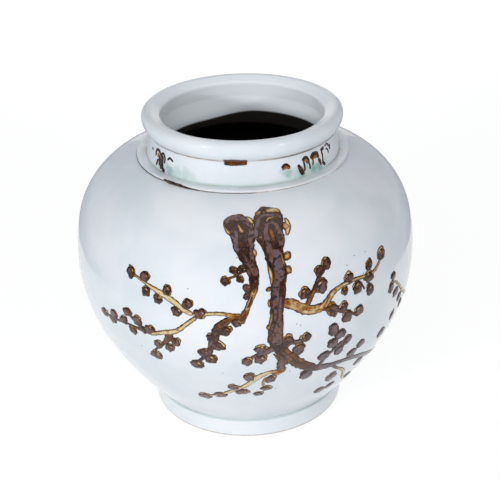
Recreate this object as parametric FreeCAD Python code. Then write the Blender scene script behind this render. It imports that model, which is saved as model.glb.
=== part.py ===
import FreeCAD, Part
import math
import os
from FreeCAD import Vector

# A broad-shouldered porcelain jar, thrown in sections that are luted together, with a plum branch in raised iron slip
# Lengths are in millimetres and angles in degrees; the jar stands on z = 0 and its front faces -Y

# Outer wall: a round belly, with one blend arc down to the foot joint and one up to the collar
belly_radius = 165.0
lower_break_angle = -28.0
shoulder_break_angle = 13.6
foot_joint_radius = 95.0
lower_rise = 149.8
upper_rise = 97.7
wall_thickness = 8.0

# Foot ring and base
foot_height = 20.0
foot_overhang = 1.2
foot_bulge = 0.6
foot_edge_chamfer = 2.0
foot_inner_chamfer = 1.5
foot_ring_width = 13.0
recess_depth = 12.0
base_step = 2.0
floor_thickness = 10.0
floor_corner_radius = 24.0

# Collar band, neck and rolled lip
collar_radius = 101.0
collar_step_height = 3.0
collar_edge_chamfer = 0.8
collar_ledge_width = 9.1
ledge_fall = 0.5
neck_rise = 22.3
neck_taper = 3.7
neck_waist = 0.5
neck_thickness = 9.2
throat_chamfer = 3.0
lip_height = 19.7
lip_reach = 6.5
lip_roll_radius = 6.5
lip_bevel_angle = 27.0
mouth_overhang = 1.7
mouth_edge_radius = 3.0

# Keyed seats between the thrown sections: a ridge below, a groove above and a film of slip between them
key_height = 3.0
key_half_width = 2.0
slip_film = 0.15

# Raised iron slip: its thickness, then the widest stroke and one bud as angles round the belly or the neck
slip_thickness = 0.5
neck_slip_thickness = 0.4
trunk_angle = 4.86
neck_stroke_angle = 1.9
bud_length_angle = 4.17
bud_width_angle = 3.65

# Length of the painted wall and rise of the painted neck, as angles round the belly and the neck,
# and the share of the wall's length at which the drawing is widest
wall_span_angle = 103.0
neck_span_angle = 14.2
widest_share = 0.52

# An edge shorter than this is left out of an outline
shortest_edge = 0.001

# Heights and radii that follow from the sizes above
belly_height = foot_height + lower_rise
collar_height = belly_height + upper_rise
collar_top = collar_height + collar_step_height
groove_height = collar_top - ledge_fall
neck_top_height = groove_height + neck_rise
lip_top = neck_top_height + lip_height
neck_base_radius = collar_radius - collar_ledge_width
neck_top_radius = neck_base_radius - neck_taper
bore_radius = neck_top_radius - neck_thickness
lip_radius = neck_top_radius + lip_reach
mouth_radius = bore_radius - mouth_overhang
foot_radius = foot_joint_radius + foot_overhang
base_radius = foot_joint_radius - base_step
foot_inner_radius = foot_joint_radius - foot_ring_width
floor_height = recess_depth + floor_thickness

# Radii of the four keyed seats
foot_key_radius = (foot_inner_radius + base_radius) / 2
belly_key_radius = belly_radius - wall_thickness / 2
neck_key_radius = (bore_radius + neck_base_radius) / 2
lip_key_radius = (bore_radius + neck_top_radius) / 2

jar_axis = Vector(0, 0, 1)


def along(centre, radius, angle):
    """Point at a radius and angle about a centre, both in the half section."""
    return (
        centre[0] + radius * math.cos(math.radians(angle)),
        centre[1] + radius * math.sin(math.radians(angle)),
    )


belly_centre = (0, belly_height)


def blend_arc(break_angle, end):
    """Centre, radius and end angle of the arc that leaves the belly arc at break_angle and passes through end.

    The radius is negative where the wall has to hollow on its way to that end.
    """
    way = along((0, 0), 1, break_angle)
    start = along(belly_centre, belly_radius, break_angle)
    run = (end[0] - start[0], end[1] - start[1])
    radius = -(run[0] ** 2 + run[1] ** 2) / (2 * (way[0] * run[0] + way[1] * run[1]))
    centre = along(start, -radius, break_angle)
    return centre, radius, math.degrees(math.atan2((end[1] - centre[1]) / radius, (end[0] - centre[0]) / radius))


foot_joint = (foot_joint_radius, foot_height)
collar_joint = (collar_radius, collar_height)
lower_centre, lower_arc_radius, lower_end_angle = blend_arc(lower_break_angle, foot_joint)
shoulder_centre, shoulder_arc_radius, shoulder_end_angle = blend_arc(shoulder_break_angle, collar_joint)


class Outline:
    """A half section drawn edge by edge, radius across and height up, that is turned about the jar's axis."""

    def __init__(self, radius, height):
        self.start = (radius, height)
        self.here = self.start
        self.edges = []

    def add(self, end, middle=None):
        """Add a straight edge, or an arc through middle, unless it has no length."""
        if math.dist(self.here, end) < shortest_edge:
            return self
        first = Vector(self.here[0], 0, self.here[1])
        last = Vector(end[0], 0, end[1])
        if middle is None:
            self.edges.append(Part.makeLine(first, last))
        else:
            self.edges.append(Part.Arc(first, Vector(middle[0], 0, middle[1]), last).toShape())
        self.here = end
        return self

    def to(self, radius, height):
        """Draw a straight edge."""
        return self.add((radius, height))

    def round(self, centre, end):
        """Draw the shorter arc about a centre."""
        first = math.atan2(self.here[1] - centre[1], self.here[0] - centre[0])
        last = math.atan2(end[1] - centre[1], end[0] - centre[0])
        half_turn = math.remainder(last - first, 2 * math.pi) / 2
        middle = along(centre, math.dist(self.here, centre), math.degrees(first + half_turn))
        return self.add(end, middle)

    def bow(self, end, swell):
        """Draw a shallow arc that swells to the left of its chord."""
        length = math.dist(self.here, end)
        across = (end[0] - self.here[0]) * swell / length
        up = (end[1] - self.here[1]) * swell / length
        middle = ((self.here[0] + end[0]) / 2 - up, (self.here[1] + end[1]) / 2 + across)
        return self.add(end, middle)

    def key(self, radius, height, way, spare=0):
        """Draw the ridge of a seat, or its groove with something to spare; way is 1 outwards and -1 inwards."""
        half_width = key_half_width + spare
        self.to(radius - way * half_width, height)
        self.to(radius, height + key_height + spare)
        return self.to(radius + way * half_width, height)

    def turned(self):
        """Close the outline and turn it into one solid."""
        self.to(*self.start)
        face = Part.Face(Part.Wire(self.edges))
        return face.revolve(Vector(0, 0, 0), jar_axis, 360)


def wall_up(outline, stand):
    """Draw the outer wall from the foot joint to the collar, standing off it by stand."""
    outline.round(lower_centre, along(belly_centre, belly_radius + stand, lower_break_angle))
    outline.round(belly_centre, along(belly_centre, belly_radius + stand, shoulder_break_angle))
    return outline.round(shoulder_centre, along(shoulder_centre, shoulder_arc_radius + stand, shoulder_end_angle))


def make_foot_ring():
    """Trimmed foot ring, with a rebate that the base of the bowl sits in."""
    top = foot_height - slip_film
    ring = Outline(foot_inner_radius, foot_inner_chamfer)
    ring.to(foot_inner_radius + foot_inner_chamfer, 0)
    ring.to(foot_radius - foot_edge_chamfer, 0)
    ring.to(foot_radius, foot_edge_chamfer)
    ring.bow((foot_radius, top - foot_overhang), -foot_bulge)
    ring.to(foot_joint_radius, top)
    ring.to(base_radius + slip_film, top)
    ring.to(base_radius + slip_film, recess_depth)
    ring.key(foot_key_radius, recess_depth, -1)
    ring.to(foot_inner_radius, recess_depth)
    return ring.turned()


def make_lower_bowl():
    """Lower half of the belly with its floor, from the foot joint to the belly seam."""
    corner_arc = lower_arc_radius - wall_thickness - floor_corner_radius
    corner_height = floor_height + floor_corner_radius
    corner_rise = corner_height - lower_centre[1]
    corner_reach = math.copysign(math.sqrt(max(corner_arc ** 2 - corner_rise ** 2, 0)), corner_arc)
    corner_centre = (lower_centre[0] + corner_reach, corner_height)
    lean = math.degrees(math.atan2(corner_rise / corner_arc, corner_reach / corner_arc))
    inner_arc = belly_radius - wall_thickness

    bowl = Outline(0, recess_depth)
    bowl.key(foot_key_radius, recess_depth, 1, slip_film)
    bowl.to(base_radius, recess_depth)
    bowl.to(base_radius, foot_height)
    bowl.to(*foot_joint)
    bowl.round(lower_centre, along(belly_centre, belly_radius, lower_break_angle))
    bowl.round(belly_centre, (belly_radius, belly_height))
    bowl.key(belly_key_radius, belly_height, -1)
    bowl.to(belly_radius - wall_thickness, belly_height)
    bowl.round(belly_centre, along(belly_centre, inner_arc, lower_break_angle))
    bowl.round(lower_centre, along(corner_centre, floor_corner_radius, lean))
    bowl.round(corner_centre, (corner_centre[0], floor_height))
    bowl.to(0, floor_height)
    return bowl.turned()


def make_shoulder_bowl():
    """Upper half of the belly, thrown upside down and turned in to a flat seat round the throat."""
    inner_arc = belly_radius - wall_thickness
    inner_shoulder = shoulder_arc_radius - wall_thickness
    throat_edge = bore_radius + throat_chamfer
    turn_in_reach = max(shoulder_centre[0], throat_edge) - shoulder_centre[0]
    under_height = shoulder_centre[1] + math.sqrt(inner_shoulder ** 2 - turn_in_reach ** 2)

    bowl = Outline(belly_radius - wall_thickness, belly_height)
    bowl.key(belly_key_radius, belly_height, 1, slip_film)
    bowl.to(belly_radius, belly_height)
    bowl.round(belly_centre, along(belly_centre, belly_radius, shoulder_break_angle))
    bowl.round(shoulder_centre, collar_joint)
    bowl.key(neck_key_radius, collar_height, -1)
    bowl.to(bore_radius, collar_height)
    bowl.to(bore_radius, under_height + throat_chamfer)
    bowl.to(throat_edge, under_height)
    bowl.to(shoulder_centre[0] + turn_in_reach, under_height)
    bowl.round(shoulder_centre, along(belly_centre, inner_arc, shoulder_break_angle))
    bowl.round(belly_centre, (belly_radius - wall_thickness, belly_height))
    return bowl.turned()


def make_collar_band():
    """Narrow band laid round the foot of the neck, its ledge falling towards the neck."""
    band = Outline(neck_base_radius + slip_film, collar_height)
    band.to(collar_radius, collar_height)
    band.to(collar_radius, collar_top - collar_edge_chamfer)
    band.to(collar_radius - collar_edge_chamfer, collar_top)
    band.to(neck_base_radius + slip_film, groove_height)
    return band.turned()


def make_neck_wall():
    """Short waisted neck that stands on the shoulder's seat."""
    neck = Outline(bore_radius, collar_height)
    neck.key(neck_key_radius, collar_height, 1, slip_film)
    neck.to(neck_base_radius, collar_height)
    neck.to(neck_base_radius, groove_height)
    neck.bow((neck_top_radius, neck_top_height), neck_waist)
    neck.key(lip_key_radius, neck_top_height, -1)
    neck.to(bore_radius, neck_top_height)
    return neck.turned()


def make_rolled_lip():
    """Thick rolled lip: an undercut flank, a round roll and a bevel that falls into the mouth."""
    roll_centre = (lip_radius - lip_roll_radius, lip_top - lip_roll_radius)
    flank_rise = roll_centre[1] - neck_top_height
    flank_radius = (lip_reach ** 2 + flank_rise ** 2) / (2 * lip_reach)
    flank_centre = (lip_radius - flank_radius, roll_centre[1])
    bevel_way = 90 + lip_bevel_angle
    bevel_out = along((0, 0), 1, bevel_way)
    edge_reach = mouth_radius + mouth_edge_radius
    bevel_level = bevel_out[0] * roll_centre[0] + bevel_out[1] * roll_centre[1] + lip_roll_radius
    edge_height = (bevel_level - mouth_edge_radius - bevel_out[0] * edge_reach) / bevel_out[1]
    edge_centre = (edge_reach, edge_height)

    lip = Outline(bore_radius, neck_top_height)
    lip.key(lip_key_radius, neck_top_height, 1, slip_film)
    lip.to(neck_top_radius, neck_top_height)
    lip.round(flank_centre, (lip_radius, roll_centre[1]))
    lip.round(roll_centre, along(roll_centre, lip_roll_radius, bevel_way))
    lip.to(*along(edge_centre, mouth_edge_radius, bevel_way))
    lip.round(edge_centre, (mouth_radius, edge_height))
    return lip.turned()


def wall_skin():
    """Layer of slip thickness all over the outer wall, that the strokes are cut from."""
    skin = wall_up(Outline(*foot_joint), 0)
    skin.to(*along(shoulder_centre, shoulder_arc_radius + slip_thickness, shoulder_end_angle))
    skin.round(shoulder_centre, along(belly_centre, belly_radius + slip_thickness, shoulder_break_angle))
    skin.round(belly_centre, along(belly_centre, belly_radius + slip_thickness, lower_break_angle))
    skin.round(lower_centre, along(lower_centre, lower_arc_radius + slip_thickness, lower_end_angle))
    return skin.turned()


def neck_skin():
    """The same layer on the neck."""
    skin = Outline(neck_base_radius, groove_height)
    skin.bow((neck_top_radius, neck_top_height), neck_waist)
    skin.to(neck_top_radius + neck_slip_thickness, neck_top_height)
    skin.bow((neck_base_radius + neck_slip_thickness, groove_height), -neck_waist)
    return skin.turned()


wall_arcs = [
    (lower_centre, lower_arc_radius, lower_end_angle, lower_break_angle),
    (belly_centre, belly_radius, lower_break_angle, shoulder_break_angle),
    (shoulder_centre, shoulder_arc_radius, shoulder_break_angle, shoulder_end_angle),
]


def spin(radius, height, around):
    """A point or direction of the half section, turned to an angle round the jar from its front, right positive."""
    return Vector(radius * math.sin(math.radians(around)), -radius * math.cos(math.radians(around)), height)


def on_wall(around, share):
    """Point and outward direction on the wall, at a share of its length from the foot joint to the collar."""
    lengths = [radius * math.radians(end - start) for centre, radius, start, end in wall_arcs]
    left = share * sum(lengths)
    for (centre, radius, start, end), length in zip(wall_arcs, lengths):
        if left <= length:
            break
        left -= length
    angle = start + math.degrees(left / radius)
    return spin(*along(centre, radius, angle), around), spin(*along((0, 0), 1, angle), around)


def on_neck(around, share):
    """Point and outward direction on the neck, at a share of its rise."""
    radius = neck_base_radius - neck_taper * share
    return spin(radius, groove_height + neck_rise * share, around), spin(1, 0, around)


class Spray:
    """Strokes and buds of slip on one side of the jar, drawn on a flat plane and pressed through a layer of slip.

    Their shapes are drawn in angles round the belly or the neck, so they keep their joins when the jar's sizes change.
    """

    def __init__(self, surface, around, share):
        self.surface = surface
        self.span_angle = wall_span_angle if surface is on_wall else neck_span_angle
        self.origin, self.out = surface(around, share)
        self.across = jar_axis.cross(self.out).normalize()
        self.up = self.out.cross(self.across)
        self.faces = []

    def flat(self, around, share):
        """Where a place on the surface falls on the plane."""
        offset = self.surface(around, share)[0] - self.origin
        return offset.dot(self.across), offset.dot(self.up)

    def squeeze(self, share):
        """How far the drawing draws in with the surface, as it would on a ball."""
        return math.cos(math.radians((share - widest_share) * self.span_angle))

    def beside(self, around, share, aside, above):
        """Where a place falls that lies some angle aside and above, as measured where the drawing is widest."""
        return self.flat(around + aside / self.squeeze(share), share + above / self.span_angle)

    def patch(self, corners):
        """Add a flat patch from its corners on the plane."""
        points = [self.origin + self.across * corner[0] + self.up * corner[1] for corner in corners]
        self.faces.append(Part.Face(Part.makePolygon(points + points[:1])))

    def limb(self, row_shares):
        """A broad limb from rows of a wall share with its left and right angles."""
        left = [self.flat(row[1], row[0]) for row in row_shares]
        right = [self.flat(row[2], row[0]) for row in row_shares]
        self.patch(left + right[::-1])

    def stroke(self, point_shares):
        """A brush stroke from points of an angle, a share up the surface and a share of the full width."""
        full_angle = trunk_angle if self.surface is on_wall else neck_stroke_angle
        sides = ([], [])
        for index, (around, share, width_share) in enumerate(point_shares):
            before = point_shares[max(index - 1, 0)]
            after = point_shares[min(index + 1, len(point_shares) - 1)]
            run = (
                (after[0] - before[0]) * self.squeeze(share),
                (after[1] - before[1]) * self.span_angle,
            )
            half_share = full_angle * width_share / 2 / math.hypot(*run)
            sides[0].append(self.beside(around, share, -run[1] * half_share, run[0] * half_share))
            sides[1].append(self.beside(around, share, run[1] * half_share, -run[0] * half_share))
        self.patch(sides[0] + sides[1][::-1])

    def buds(self, bud_shares):
        """Buds from an angle, a wall share, a turn and a share of the full size, each an uneven dab of the brush."""
        for around, share, turn, size_share in bud_shares:
            swing = math.radians(turn)
            corners = []
            for index, corner_share in enumerate(bud_corner_shares):
                angle = math.radians(360 * index / len(bud_corner_shares))
                along_bud = bud_length_angle / 2 * size_share * corner_share * math.cos(angle)
                beside_bud = bud_width_angle / 2 * size_share * corner_share * math.sin(angle)
                corners.append(self.beside(
                    around, share,
                    along_bud * math.cos(swing) - beside_bud * math.sin(swing),
                    along_bud * math.sin(swing) + beside_bud * math.cos(swing),
                ))
            self.patch(corners)

    def prism(self):
        """The patches drawn out through the wall along the plane's normal, and joined."""
        reach = self.out * (belly_radius / 3)
        bars = []
        for sheet in self.faces:
            sheet.translate(reach * -1)
            bars.append(sheet.extrude(reach * 2))
        return bars[0].multiFuse(bars[1:]).removeSplitter() if len(bars) > 1 else bars[0]


# One bud's corners, as shares of half its length and width
bud_corner_shares = [1.0, 0.92, 1.04, 0.9, 1.06, 0.95, 0.9]

# Broad limbs: wall share, left angle and right angle
trunk_row_shares = [
    (0.941, 7.2, 8.6), (0.932, 6.0, 12.6), (0.920, 4.5, 14.6), (0.905, 3.7, 15.4), (0.890, 3.6, 15.2),
    (0.870, 3.6, 14.6), (0.845, 4.2, 13.9), (0.832, 3.9, 14.2), (0.815, 5.2, 13.7), (0.795, 6.0, 13.1),
    (0.765, 6.8, 13.0), (0.735, 7.4, 13.5), (0.700, 7.7, 12.8), (0.650, 7.3, 12.2), (0.590, 6.9, 11.1),
    (0.545, 6.4, 11.2), (0.520, 6.1, 11.5), (0.500, 6.7, 12.6), (0.480, 7.9, 13.0), (0.455, 9.3, 14.6),
    (0.430, 9.9, 16.6),
]
left_limb_row_shares = [
    (0.918, -2.8, -0.8), (0.910, -5.2, 0.6), (0.902, -6.8, 3.3), (0.890, -8.0, 3.6), (0.870, -7.2, 3.6),
    (0.845, -5.2, 4.2), (0.832, -4.6, 3.9), (0.815, -4.1, 3.2), (0.800, -3.5, 3.7), (0.770, -1.3, 3.8),
    (0.740, 0.3, 4.3), (0.715, 0.9, 4.4), (0.690, 1.2, 4.0), (0.665, 0.8, 2.9), (0.640, -0.2, 1.8),
    (0.615, -1.5, 0.8), (0.595, -2.1, 0.1), (0.578, -1.6, -0.7),
]

# Strokes: angle, wall share and share of the trunk's width
root_shares = [
    (12.0, 0.455, 0.9), (14.8, 0.428, 0.9), (17.5, 0.402, 0.85), (20.5, 0.379, 0.8), (23.5, 0.363, 0.72),
    (28.0, 0.353, 0.62), (33.0, 0.350, 0.52), (38.0, 0.344, 0.48), (44.0, 0.328, 0.5), (50.0, 0.303, 0.52),
    (56.0, 0.275, 0.5), (61.0, 0.252, 0.45),
]
root_stub_shares = [(11.1, 0.440, 0.55), (10.9, 0.415, 0.6), (11.0, 0.385, 0.6)]
low_centre_shares = [
    (11.2, 0.383, 0.35), (8.5, 0.383, 0.33), (6.0, 0.375, 0.42), (3.5, 0.360, 0.48), (1.0, 0.332, 0.42),
    (-1.5, 0.308, 0.42), (-4.0, 0.293, 0.38), (-7.5, 0.268, 0.33), (-11.0, 0.246, 0.3), (-14.0, 0.236, 0.28),
    (-17.0, 0.224, 0.25),
]
low_centre_hook_shares = [(12.2, 0.400, 0.3), (11.6, 0.382, 0.4), (10.0, 0.373, 0.45), (8.0, 0.370, 0.4)]
low_centre_drop_shares = [(6.2, 0.355, 0.2), (5.3, 0.330, 0.2), (5.4, 0.305, 0.2)]
low_left_twig_shares = [(8.6, 0.487, 0.55), (6.0, 0.474, 0.5), (3.8, 0.465, 0.35), (1.2, 0.452, 0.25)]
small_twig_shares = [(0.9, 0.747, 0.16), (-1.5, 0.739, 0.18), (-4.0, 0.726, 0.18), (-7.5, 0.716, 0.16)]
left_main_shares = [
    (-1.4, 0.603, 0.6), (-3.4, 0.604, 0.45), (-6.0, 0.610, 0.33), (-9.0, 0.612, 0.27), (-13.0, 0.607, 0.3),
    (-16.5, 0.600, 0.3),
]
left_upper_shares = [
    (-16.5, 0.602, 0.35), (-19.5, 0.614, 0.4), (-22.5, 0.633, 0.45), (-26.0, 0.649, 0.42), (-29.5, 0.660, 0.36),
    (-33.0, 0.672, 0.24), (-36.0, 0.682, 0.2), (-38.5, 0.686, 0.2),
]
left_lower_shares = [
    (-15.5, 0.593, 0.3), (-18.5, 0.567, 0.33), (-21.5, 0.539, 0.35), (-24.5, 0.525, 0.42), (-28.0, 0.514, 0.34),
    (-31.5, 0.502, 0.32), (-36.0, 0.502, 0.24), (-40.0, 0.505, 0.2), (-44.0, 0.501, 0.2), (-49.0, 0.496, 0.24),
    (-54.0, 0.495, 0.22),
]
left_lower_side_shares = [(-34.5, 0.506, 0.35), (-37.5, 0.528, 0.35), (-40.5, 0.547, 0.2)]
left_drop_shares = [
    (-24.4, 0.522, 0.6), (-25.6, 0.497, 0.5), (-27.5, 0.473, 0.28), (-29.5, 0.454, 0.2), (-31.5, 0.435, 0.16),
]
hanging_shares = [
    (-3.8, 0.601, 0.4), (-6.0, 0.588, 0.5), (-7.9, 0.570, 0.68), (-9.4, 0.545, 0.62), (-10.3, 0.515, 0.6),
    (-11.4, 0.485, 0.42), (-12.3, 0.460, 0.4), (-14.3, 0.442, 0.28), (-16.2, 0.425, 0.26),
]
right_main_shares = [
    (11.2, 0.640, 0.75), (14.0, 0.632, 0.74), (16.2, 0.620, 0.72), (18.5, 0.606, 0.7), (21.0, 0.600, 0.68),
    (23.2, 0.603, 0.64), (25.0, 0.611, 0.56), (26.4, 0.626, 0.48), (28.2, 0.643, 0.42), (31.0, 0.653, 0.34),
    (35.0, 0.658, 0.32), (39.0, 0.656, 0.28), (43.0, 0.652, 0.26), (46.0, 0.660, 0.26), (49.0, 0.683, 0.2),
]
right_rising_shares = [(18.4, 0.610, 0.4), (20.3, 0.645, 0.36), (21.8, 0.668, 0.36), (23.6, 0.702, 0.3)]
right_short_shares = [(36.5, 0.655, 0.25), (38.7, 0.637, 0.16), (40.2, 0.613, 0.14)]
bud_chain_shares = [
    (23.6, 0.597, 0.3), (26.5, 0.590, 0.34), (29.6, 0.577, 0.32), (32.5, 0.562, 0.32), (35.5, 0.545, 0.22),
    (37.5, 0.532, 0.2),
]
low_pair_shares = [(12.6, 0.498, 0.34), (15.2, 0.498, 0.36), (17.8, 0.501, 0.3)]
low_right_shares = [
    (25.0, 0.372, 0.32), (26.4, 0.397, 0.34), (28.5, 0.420, 0.28), (30.6, 0.436, 0.34), (32.6, 0.450, 0.36),
]
low_right_side_shares = [(30.4, 0.436, 0.22), (29.8, 0.465, 0.24), (29.6, 0.495, 0.24)]
root_bud_twig_shares = [(38.8, 0.348, 0.55), (39.4, 0.366, 0.5), (40.4, 0.386, 0.3)]
low_twig_shares = [
    (31.0, 0.345, 0.3), (33.5, 0.320, 0.28), (37.0, 0.296, 0.28), (39.8, 0.266, 0.28), (41.2, 0.236, 0.26),
    (43.0, 0.208, 0.26), (46.0, 0.186, 0.26),
]
side_branch_shares = [
    (60.4, 0.254, 0.42), (68.0, 0.236, 0.38), (76.0, 0.243, 0.34), (83.0, 0.272, 0.32), (89.0, 0.318, 0.3),
    (92.0, 0.352, 0.28), (90.0, 0.368, 0.28), (84.0, 0.394, 0.28), (78.0, 0.421, 0.28), (72.0, 0.452, 0.28),
    (67.0, 0.484, 0.27), (63.0, 0.514, 0.25), (60.0, 0.544, 0.22), (57.5, 0.565, 0.2), (54.0, 0.581, 0.16),
]

# Buds: angle, wall share, turn and share of the full size
trunk_bud_shares = [
    (15.3, 0.866, 95, 0.78), (13.8, 0.778, 80, 0.74), (13.7, 0.737, 100, 0.66), (7.1, 0.686, 20, 0.5),
    (6.7, 0.565, 60, 0.5),
]
low_pair_bud_shares = [(12.9, 0.506, 100, 1.2), (18.5, 0.507, 60, 1.05), (16.5, 0.466, 80, 1.3)]
low_left_bud_shares = [(4.2, 0.484, 10, 1.12), (3.9, 0.445, 80, 1.2), (-0.1, 0.435, 85, 1.08)]
small_twig_bud_shares = [
    (-3.6, 0.745, 160, 0.8), (-1.5, 0.752, 60, 0.6), (-6.3, 0.713, 150, 0.86), (-1.7, 0.719, 140, 0.66),
]
loose_bud_shares = [(0.3, 0.692, 110, 0.8), (0.2, 0.669, 60, 0.68)]
left_upper_bud_shares = [
    (-14.3, 0.606, 40, 1.15), (-18.3, 0.632, 60, 1.08), (-21.8, 0.604, 80, 1.05), (-25.0, 0.664, 70, 1.02),
    (-28.4, 0.633, 95, 1.0), (-33.4, 0.690, 60, 1.02), (-32.6, 0.645, 80, 1.02), (-38.9, 0.690, 100, 1.08),
]
left_lower_bud_shares = [
    (-32.0, 0.513, 30, 1.14), (-34.6, 0.504, 140, 0.8), (-36.7, 0.530, 100, 1.15), (-40.8, 0.549, 10, 1.0),
    (-43.2, 0.512, 30, 1.08), (-39.5, 0.486, 150, 1.02), (-48.0, 0.513, 40, 1.05), (-49.2, 0.488, 20, 1.02),
    (-53.6, 0.495, 10, 1.1),
]
left_drop_bud_shares = [
    (-22.9, 0.490, 70, 1.02), (-25.6, 0.463, 70, 1.0), (-29.6, 0.464, 80, 1.0), (-31.6, 0.413, 20, 1.24),
]
hanging_bud_shares = [
    (-6.6, 0.553, 50, 1.12), (-3.2, 0.584, 120, 0.95), (-11.0, 0.528, 40, 0.95), (-8.9, 0.497, 160, 1.2),
    (-13.8, 0.466, 20, 1.15), (-11.9, 0.441, 170, 1.28), (-16.6, 0.412, 10, 1.22),
]
right_bud_shares = [
    (18.3, 0.657, 80, 1.1), (24.0, 0.669, 85, 1.35), (24.1, 0.715, 80, 1.0), (26.7, 0.732, 60, 1.08),
    (34.0, 0.667, 70, 1.12), (32.3, 0.633, 100, 0.84), (37.3, 0.628, 95, 1.2), (43.3, 0.683, 50, 0.98),
    (42.6, 0.645, 10, 1.2), (42.8, 0.600, 95, 1.12), (49.7, 0.695, 40, 1.12),
]
bud_chain_bud_shares = [
    (27.8, 0.582, 120, 1.34), (31.5, 0.581, 70, 1.02), (33.1, 0.541, 110, 1.24), (37.9, 0.546, 40, 1.16),
]
low_right_bud_shares = [
    (28.4, 0.510, 100, 1.28), (31.1, 0.482, 30, 1.24), (28.7, 0.455, 120, 1.22), (34.6, 0.448, 50, 1.14),
    (31.6, 0.416, 80, 1.2), (26.0, 0.410, 20, 1.22),
]
root_bud_shares = [(20.9, 0.336, 100, 1.5), (38.4, 0.374, 30, 1.05), (42.0, 0.397, 60, 1.12)]
low_centre_bud_shares = [
    (0.3, 0.360, 110, 1.22), (-5.3, 0.300, 150, 1.15), (-2.3, 0.272, 0, 1.2), (3.6, 0.256, 20, 0.95),
    (-10.8, 0.243, 20, 1.25), (-17.5, 0.221, 10, 1.3), (7.6, 0.344, 70, 1.1), (6.6, 0.290, 20, 1.05),
]
low_twig_bud_shares = [
    (33.8, 0.262, 110, 1.55), (32.0, 0.180, 150, 1.35), (37.0, 0.190, 60, 1.15), (47.8, 0.277, 140, 1.5),
    (46.8, 0.195, 110, 1.15),
]
side_bud_shares = [
    (55.6, 0.594, 10, 0.92), (54.4, 0.557, 100, 1.05), (58.0, 0.526, 20, 1.1), (62.2, 0.487, 120, 1.08),
    (65.6, 0.447, 90, 1.0), (59.4, 0.428, 110, 1.15), (54.9, 0.378, 150, 1.4), (77.2, 0.384, 110, 1.1),
    (79.0, 0.317, 90, 1.2), (75.3, 0.262, 120, 1.1),
]

# Neck curls: angle, share of the neck's rise and share of a neck stroke's width
neck_right_stroke_shares = [
    [(22.5, 0.58, 0.5), (25.0, 0.70, 0.7), (28.0, 0.56, 0.5)],
    [(33.4, 0.56, 0.8), (34.6, 0.38, 1.0), (36.0, 0.16, 0.9)],
    [(36.4, 0.68, 0.6), (38.6, 0.76, 0.8), (41.0, 0.66, 0.8), (41.2, 0.46, 0.6)],
    [(43.2, 0.62, 0.8), (45.0, 0.78, 0.9), (48.6, 0.74, 1.0), (49.8, 0.52, 0.9)],
    [(52.4, 0.76, 0.9), (56.2, 0.80, 1.0)],
    [(52.8, 0.28, 0.9), (55.4, 0.10, 0.9)],
    [(63.0, 0.56, 0.8), (63.8, 0.78, 0.7)],
]
neck_left_stroke_shares = [
    [(-49.8, 0.56, 0.5), (-47.6, 0.68, 0.7), (-44.8, 0.58, 0.5)],
    [(-52.6, 0.36, 0.6), (-52.4, 0.60, 0.6), (-54.4, 0.74, 0.7), (-56.4, 0.58, 0.8), (-56.0, 0.12, 0.9)],
    [(-63.6, 0.50, 0.6), (-61.8, 0.74, 0.8), (-58.6, 0.74, 0.8), (-57.2, 0.60, 0.6)],
    [(-59.6, 0.40, 0.6), (-61.0, 0.10, 0.9)],
    [(-69.4, 0.62, 0.8), (-67.4, 0.62, 0.8)],
]

# Each spray: its surface, the angle and share of its middle, its strokes, its buds and what it is laid under
sprays = {
    "trunk": (on_wall, 9.5, 0.72, [trunk_row_shares], [], trunk_bud_shares, []),
    "left_limb": (on_wall, 0.0, 0.76, [left_limb_row_shares], [], loose_bud_shares, ["trunk"]),
    "small_twig": (on_wall, -3.5, 0.73, [], [small_twig_shares], small_twig_bud_shares, ["left_limb"]),
    "left_branch": (
        on_wall, -22.0, 0.64, [], [left_main_shares, left_upper_shares], left_upper_bud_shares, ["left_limb"],
    ),
    "left_lower_spray": (
        on_wall, -36.0, 0.52, [], [left_lower_shares, left_lower_side_shares], left_lower_bud_shares,
        ["left_branch"],
    ),
    "left_drop_spray": (
        on_wall, -27.0, 0.47, [], [left_drop_shares], left_drop_bud_shares, ["left_lower_spray"],
    ),
    "hanging_spray": (
        on_wall, -9.5, 0.51, [], [hanging_shares], hanging_bud_shares, ["left_limb", "left_branch"],
    ),
    "right_branch": (
        on_wall, 31.0, 0.65, [], [right_main_shares, right_rising_shares, right_short_shares], right_bud_shares,
        ["trunk"],
    ),
    "bud_chain": (on_wall, 31.0, 0.56, [], [bud_chain_shares], bud_chain_bud_shares, ["right_branch"]),
    "root_branch": (
        on_wall, 36.0, 0.35, [], [root_shares, root_bud_twig_shares], root_bud_shares, ["trunk"],
    ),
    "low_bud_pair": (on_wall, 16.0, 0.49, [], [low_pair_shares], low_pair_bud_shares, ["trunk"]),
    "low_left_twig": (on_wall, 3.0, 0.46, [], [low_left_twig_shares], low_left_bud_shares, ["trunk"]),
    "low_right_spray": (
        on_wall, 30.0, 0.45, [], [low_right_shares, low_right_side_shares], low_right_bud_shares, ["root_branch"],
    ),
    "low_centre_branch": (
        on_wall, -3.0, 0.32, [],
        [root_stub_shares, low_centre_shares, low_centre_hook_shares, low_centre_drop_shares],
        low_centre_bud_shares, ["trunk", "root_branch"],
    ),
    "low_right_twig": (on_wall, 39.0, 0.26, [], [low_twig_shares], low_twig_bud_shares, ["root_branch"]),
    "side_spray": (
        on_wall, 73.0, 0.4, [], [side_branch_shares], side_bud_shares, ["root_branch"],
    ),
    "right_neck_curls": (on_neck, 43.0, 0.5, [], neck_right_stroke_shares, [], []),
    "left_neck_curls": (on_neck, -57.0, 0.5, [], neck_left_stroke_shares, [], []),
}


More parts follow.
